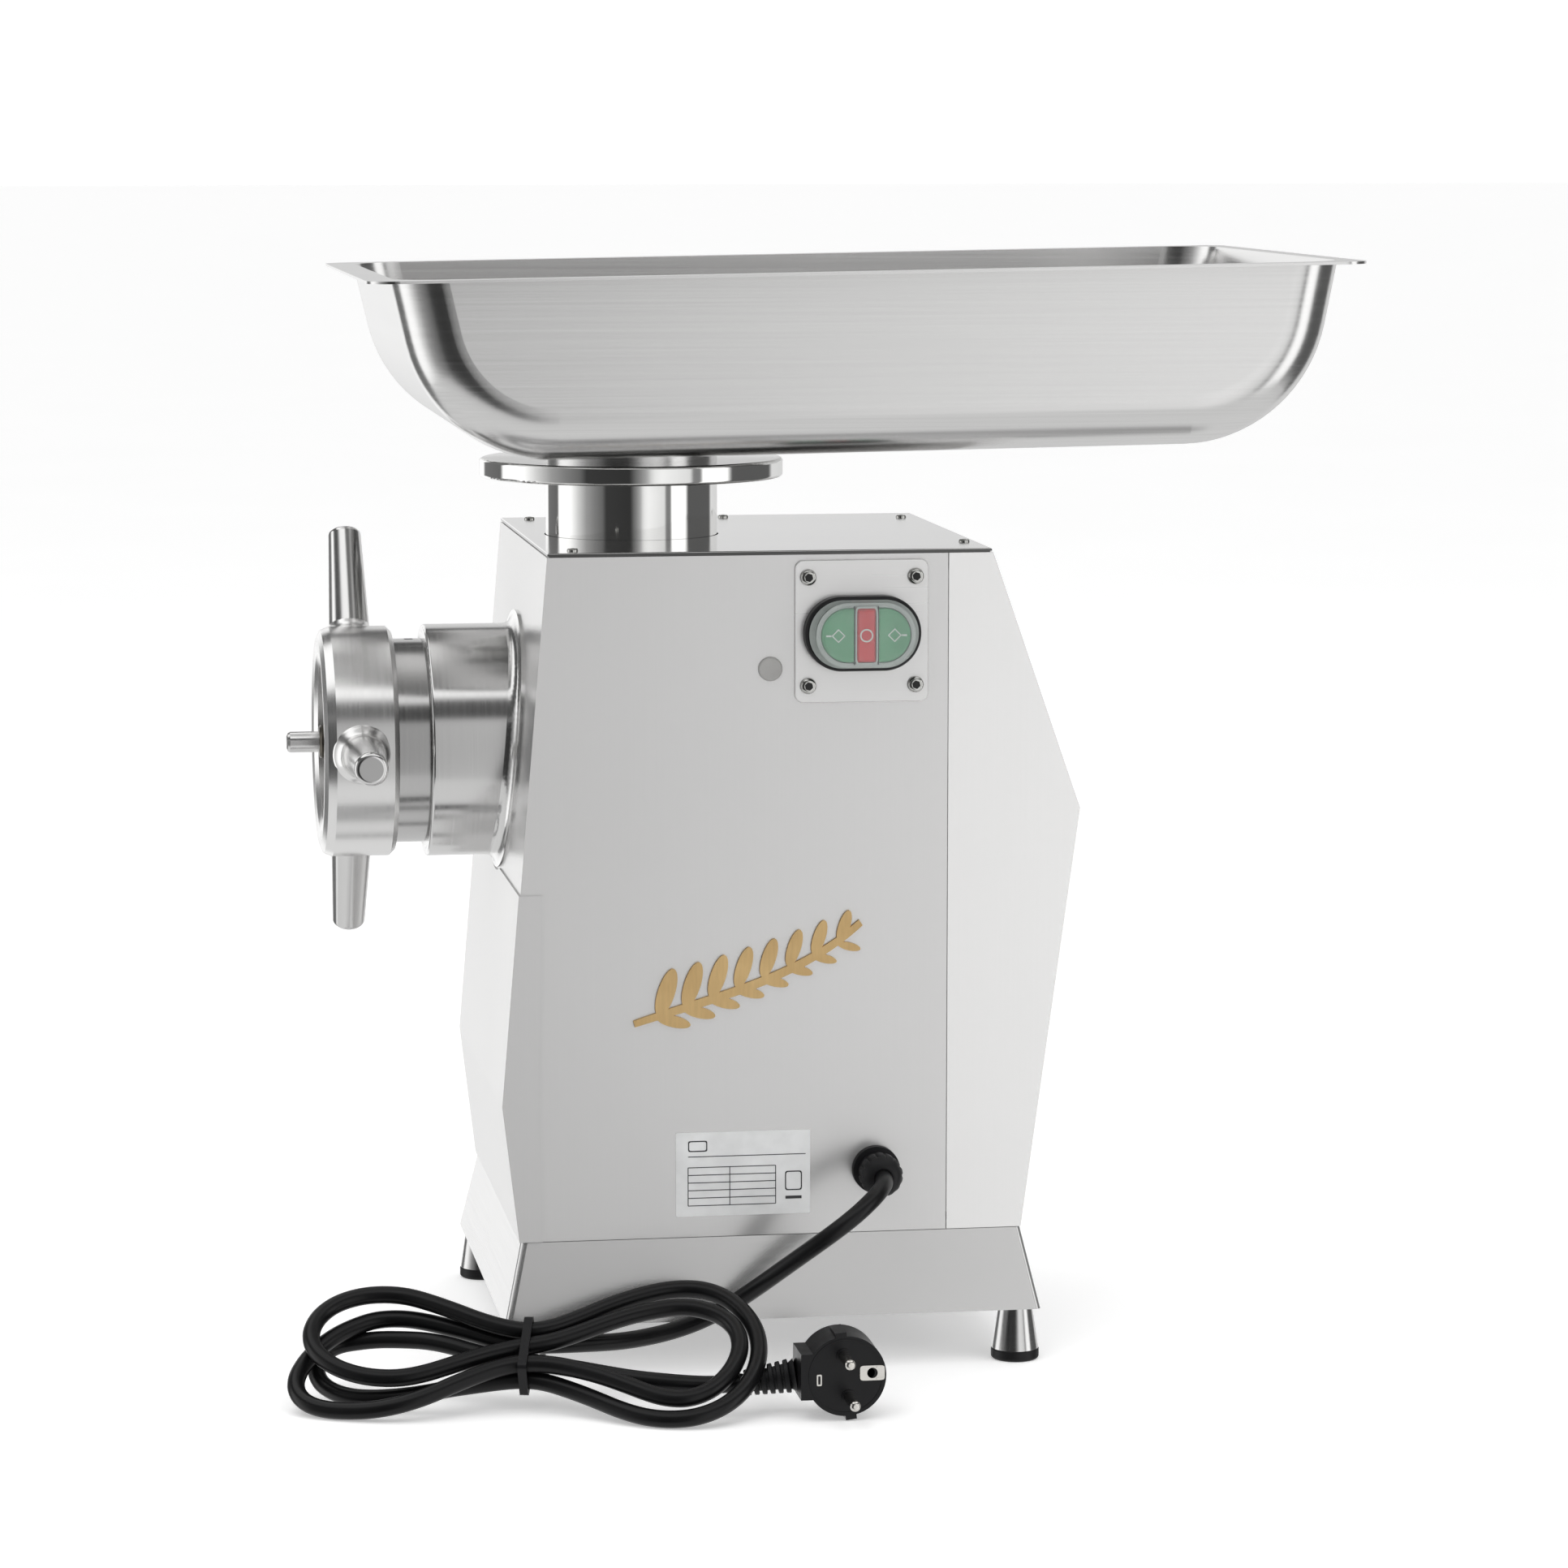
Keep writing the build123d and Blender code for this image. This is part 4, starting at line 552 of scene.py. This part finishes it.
bm = bmesh.new()
for side in (-1, 1):
    out = side * PIN_OUT
    frame_plate(bm, PLUG_X - out * math.sin(PLUG_LEAN), PLUG_Z + out * math.cos(PLUG_LEAN), circle(2.45),
                circle(3.2), PLUG_FACE_Y - 0.7, PLUG_FACE_Y + 0.2)
frame_plate(bm, PLUG_X, PLUG_Z, circle(16.4), circle(17.0), PLUG_FACE_Y - 0.3, PLUG_FACE_Y + 0.2, 96)
plug_mouldings = piece("plug_mouldings", bm, "root", "black_plastic")

GLAND = (22.0, -106.8, 93.0)
FLUTES, FLUTE_DEPTH = 14, 0.085
FLUTED_FROM, FLUTED_TO = 11.4, 18.6
CAP_PROFILE = [(11.0, 4.1), (11.0, 9.2), (11.5, 9.85), (12.4, 9.9), (18.0, 9.9), (18.5, 9.7), (19.4, 9.3),
               (21.0, 8.3), (22.2, 6.9), (22.8, 5.6), (23.0, 4.7), (22.8, 4.1)]


def flutes(along, turn):
    """The grip flutes of the gland's cap: shallow grooves along its middle."""
    if not FLUTED_FROM < along < FLUTED_TO:
        return 1.0
    return 1.0 - FLUTE_DEPTH * max(0.0, math.cos(FLUTES * turn)) ** 3


bm = bmesh.new()
lathe(bm, GLAND, (0, -1, 0), CAP_PROFILE, 112, flutes)
fluted_cap = piece("fluted_cap", bm, "root", "black_rubber")
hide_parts("gland_cap")

# ---- marks on the keys, rules on the label -----------------------------------------------------
STATION_X, STATION_Z = 14.6, 344.0
KEY_SPACING = 13.0
MARK_BACK_Y, MARK_FRONT_Y = -123.0, -123.5
TAIL_OUT, TAIL_HALF_LENGTH, TAIL_HALF_WIDTH = 4.5, 1.2, 0.4
for name, outwards in (("reverse", -1), ("forward", 1)):
    x = STATION_X + outwards * KEY_SPACING
    tail_x = x + outwards * TAIL_OUT
    bm = bmesh.new()
    frame_plate(bm, x, STATION_Z, diamond(2.5, 2.5), diamond(3.2, 3.2), MARK_FRONT_Y, MARK_BACK_Y, 32)
    bar(bm, (tail_x - TAIL_HALF_LENGTH, MARK_FRONT_Y, STATION_Z - TAIL_HALF_WIDTH),
        (tail_x + TAIL_HALF_LENGTH, MARK_BACK_Y, STATION_Z + TAIL_HALF_WIDTH))
    piece("mark_" + name, bm, name + "_key", "label_film", MARK, 0)
bm = bmesh.new()
frame_plate(bm, STATION_X, STATION_Z, circle(2.4), circle(3.05), MARK_FRONT_Y, MARK_BACK_Y)
piece("mark_stop", bm, "stop_key", "label_film", MARK)

LABEL_Y, RULE_HALF, RULE_RISE = -107.05, 0.2, 0.05
RULES_Z = (78.0, 81.6, 85.2, 88.8, 92.4, 96.0)
COLUMNS_X = (-66.0, -46.5, -25.0)
EMPTY_FRAMES = ((-61.5, 106.0, 4.5, 2.6), (-16.6, 88.6, 4.0, 4.6))


def rule(low_x, high_x, low_z, high_z):
    """A printed line on the label."""
    bar(bm, (low_x, LABEL_Y - RULE_RISE, low_z), (high_x, LABEL_Y + RULE_RISE, high_z))


bm = bmesh.new()
for z in RULES_Z:
    rule(COLUMNS_X[0], COLUMNS_X[-1], z - RULE_HALF, z + RULE_HALF)
for x in COLUMNS_X:
    rule(x - RULE_HALF, x + RULE_HALF, RULES_Z[0], RULES_Z[-1])
rule(COLUMNS_X[0], -10.9, 100.9, 101.3)
for x, z, w, h in EMPTY_FRAMES:
    frame_plate(bm, x, z, rounded_box(w - 0.55, h - 0.55, 10), rounded_box(w, h, 10), LABEL_Y - RULE_RISE,
                LABEL_Y + RULE_RISE)
rule(-20.4, -12.8, 80.0, 81.4)
piece("label_rules", bm, "root", "label_film", PRINT, 0)


# ---- the boot's grooves as painted shade, its rims with a painted highlight, painted shade in the screw sockets, and the handle flares ---
# dark bars between the keys: painted shade in the boot's grooves
GROOVE_SHADE_OUT, GROOVE_SHADE_HALF = 5.55, 0.28
bm = bmesh.new()
for side in (-1, 1):
    groove_shade_x = STATION_X + side * GROOVE_SHADE_OUT
    bar(bm, (groove_shade_x - GROOVE_SHADE_HALF, -122.9, STATION_Z - 13.4), (groove_shade_x + GROOVE_SHADE_HALF, -110.4, STATION_Z + 13.4))
piece("boot_groove_shade", bm, "root", "black_plastic", smooth=0)
# the boot's rim at its front and round its base: milky silicone with a painted highlight
bm = bmesh.new()
bezel_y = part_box("station_bezel")[0][1] / MM
frame_plate(bm, STATION_X, STATION_Z, stadium(21.0, 12.7), stadium(23.1, 14.8), -122.2, -121.6, 120)
frame_plate(bm, STATION_X, STATION_Z, stadium(22.4, 14.1), stadium(25.4, 15.7), bezel_y - 0.35, bezel_y + 0.3,
            120)
piece("boot_lip_highlight", bm, "root", "clear_silicone", RIM_HIGHLIGHT)
# the raised frame round the stop key: milky silicone with a painted highlight
bm = bmesh.new()
frame_plate(bm, STATION_X, STATION_Z, rounded_box(4.5, 12.5, 12), rounded_box(5.2, 13.3, 12), -123.6, -123.3,
            96)
piece("stop_collar_highlight", bm, "root", "clear_silicone", RIM_HIGHLIGHT)

PANEL_X, PANEL_Z, SCREW_OUT = 15.0, 344.7, 25.0
SOCKET_HALF, SOCKET_TURN = 1.75, 0.3
head_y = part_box("casing_screws")[0][1] / MM
# dark hexagons on the screw heads: painted shade where the sockets are recessed
bm = bmesh.new()
for dx in (-SCREW_OUT, SCREW_OUT):
    for dz in (-SCREW_OUT, SCREW_OUT):
        frame_plate(bm, PANEL_X + dx, PANEL_Z + dz, circle(0.05), hexagon(SOCKET_HALF, SOCKET_TURN),
                    head_y - 0.06, head_y + 0.4, 48)
piece("screw_socket_shade", bm, "root", "polished_steel", SOCKET_SHADE, 0)

HANDLES_AT = (-210.7, 0, 285.0)
HANDLE_ANGLES = (0, 120, 240)
FLARE_STEPS = (0, 0.06, 0.12, 0.2, 0.3, 0.4, 0.52, 0.66, 0.8, 1)
FLARE = [(52.4, 9.0), (52.4, 13.7), (53.4, 13.9)]
FLARE += [(53.8 + 10.2 * u, 9.3 + 4.5 * (1 - u) ** 3) for u in FLARE_STEPS]
FLARE += [(64.0, 9.0)]
bm = bmesh.new()
for angle in HANDLE_ANGLES:
    outward = Vector((0, -math.cos(math.radians(angle)), math.sin(math.radians(angle))))
    lathe(bm, HANDLES_AT, outward, FLARE, 64)
piece("handle_flares", bm, "ring", "turned_steel", OWN_FINISH["ring_nut"], 40)


# ---- studio -------------------------------------------------------------------------------------
def area_light(name, place, target, width, height, power):
    data = bpy.data.lights.new(name, "AREA")
    data.shape = "RECTANGLE"
    data.size, data.size_y = width, height
    data.energy = power
    obj = bpy.data.objects.new(name, data)
    obj.location = place
    obj.rotation_euler = (Vector(target) - Vector(place)).to_track_quat("-Z", "Y").to_euler()
    obj.visible_glossy = False
    bpy.context.collection.objects.link(obj)


FLOOR_HALF = 40
floor_corners = [(-FLOOR_HALF, -FLOOR_HALF, 0), (FLOOR_HALF, -FLOOR_HALF, 0), (FLOOR_HALF, FLOOR_HALF, 0),
                 (-FLOOR_HALF, FLOOR_HALF, 0)]
floor_mesh = bpy.data.meshes.new("floor")
floor_mesh.from_pydata(floor_corners, [], [(0, 1, 2, 3)])
floor = bpy.data.objects.new("floor", floor_mesh)
floor.visible_glossy = False
bpy.context.collection.objects.link(floor)
floor_mat = Mat("floor")
floor_shade = floor_mat.mix(floor_mat.noise((3, 3, 3)), (0.86, 0.86, 0.86, 1), (0.90, 0.90, 0.90, 1))
floor_mat.set(Base_Color=floor_shade, Roughness=0.9, Emission_Color=(1, 1, 1, 1), Emission_Strength=0.37)
floor_mat.fix("Specular IOR Level", 0.0)
floor_mesh.materials.append(floor_mat.mat)

# The studio around the object, which its steel reflects, as levels by direction: walls, flags and softboxes
# by azimuth (0 is towards -Y, positive towards +X) near the level, and floor, ceiling and high softboxes by
# elevation further up or down. The camera itself sees plain white.
AROUND = ((-180, 0.85), (-174, 1.18), (-170, 1.24), (-158, 1.18), (-154, 0.20), (-124, 0.16), (-120, 1.5),
          (-98, 1.4), (-83, 0.80), (-70, 0.40), (-58, 0.26), (-46, 0.16), (-41, 0.05), (-8, 0.04), (0, 0.28),
          (5, 0.48), (8, 0.82), (11, 1.02), (16, 1.12), (38, 0.90), (41, 0.25), (47, 0.25), (49, 1.5),
          (70, 1.5), (75, 0.12), (122, 0.12), (128, 0.85), (165, 0.72), (180, 0.80))
UP = ((-90, 0.85), (-80, 0.80), (-77.5, 0.28), (-74, 0.28), (-71, 0.84), (-36, 0.78), (24, 0.6), (29, 0.08),
      (45, 0.11), (50, 1.35), (68, 1.25), (76, 0.55), (90, 0.8))
BRIGHTEST = 1.6
BACKDROP_LEVEL = 1.1
LEVEL_MIDDLE, LEVEL_FROM, LEVEL_TO = math.radians(-4), math.radians(26), math.radians(32)

world = bpy.data.worlds.new("world")
bpy.context.scene.world = world
world.use_nodes = True
sky = world.node_tree
sky.nodes.clear()


def sky_math(operation, *values):
    """A Math node of the world; each value is a number or another node's output."""
    node = sky.nodes.new("ShaderNodeMath")
    node.operation = operation
    for socket, value in zip(node.inputs, values):
        if isinstance(value, bpy.types.NodeSocket):
            sky.links.new(value, socket)
        else:
            socket.default_value = value
    return node.outputs[0]


def levels(angle, stops, span):
    """A brightness by an angle in radians, from (degrees, level) stops that cover span degrees about 0."""
    node = sky.nodes.new("ShaderNodeValToRGB")
    ramp = node.color_ramp
    while len(ramp.elements) < len(stops):
        ramp.elements.new(0.5)
    for element, (degrees, level) in zip(ramp.elements, stops):
        element.position = degrees / span + 0.5
        element.color = (level / BRIGHTEST,) * 3 + (1,)
    sky.links.new(sky_math("MULTIPLY_ADD", angle, 1 / math.radians(span), 0.5), node.inputs[0])
    return node.outputs[0]


def background(colour, strength):
    node = sky.nodes.new("ShaderNodeBackground")
    if isinstance(colour, bpy.types.NodeSocket):
        sky.links.new(colour, node.inputs["Color"])
    else:
        node.inputs["Color"].default_value = colour
    node.inputs["Strength"].default_value = strength
    return node.outputs[0]


split = sky.nodes.new("ShaderNodeSeparateXYZ")
sky.links.new(sky.nodes.new("ShaderNodeTexCoord").outputs["Generated"], split.inputs[0])
turn = sky_math("ARCTAN2", split.outputs[0], sky_math("MULTIPLY", split.outputs[1], -1.0))
rise = sky_math("ARCSINE", split.outputs[2])
blend = sky.nodes.new("ShaderNodeMapRange")
blend.interpolation_type = "SMOOTHSTEP"
sky.links.new(sky_math("ABSOLUTE", sky_math("SUBTRACT", rise, LEVEL_MIDDLE)), blend.inputs["Value"])
blend.inputs["From Min"].default_value = LEVEL_FROM
blend.inputs["From Max"].default_value = LEVEL_TO
both = sky.nodes.new("ShaderNodeMix")
both.data_type = "RGBA"
sky.links.new(blend.outputs[0], both.inputs[0])
sky.links.new(levels(turn, AROUND, 360), both.inputs[6])
sky.links.new(levels(rise, UP, 180), both.inputs[7])
choose = sky.nodes.new("ShaderNodeMixShader")
sky.links.new(sky.nodes.new("ShaderNodeLightPath").outputs["Is Camera Ray"], choose.inputs[0])
sky.links.new(background(both.outputs[2], BRIGHTEST), choose.inputs[1])
sky.links.new(background((1, 1, 1, 1), BACKDROP_LEVEL), choose.inputs[2])
sky.links.new(choose.outputs[0], sky.nodes.new("ShaderNodeOutputWorld").inputs["Surface"])

area_light("key", (-1.4, -1.8, 1.9), (0, 0, 0.25), 1.6, 1.6, 14)
area_light("fill", (1.6, -1.6, 1.2), (0, 0, 0.3), 1.2, 1.6, 6)
area_light("top", (0, 0.2, 2.2), (0, 0, 0.3), 2.2, 2.2, 14)
bpy.context.scene.view_settings.view_transform = "Standard"
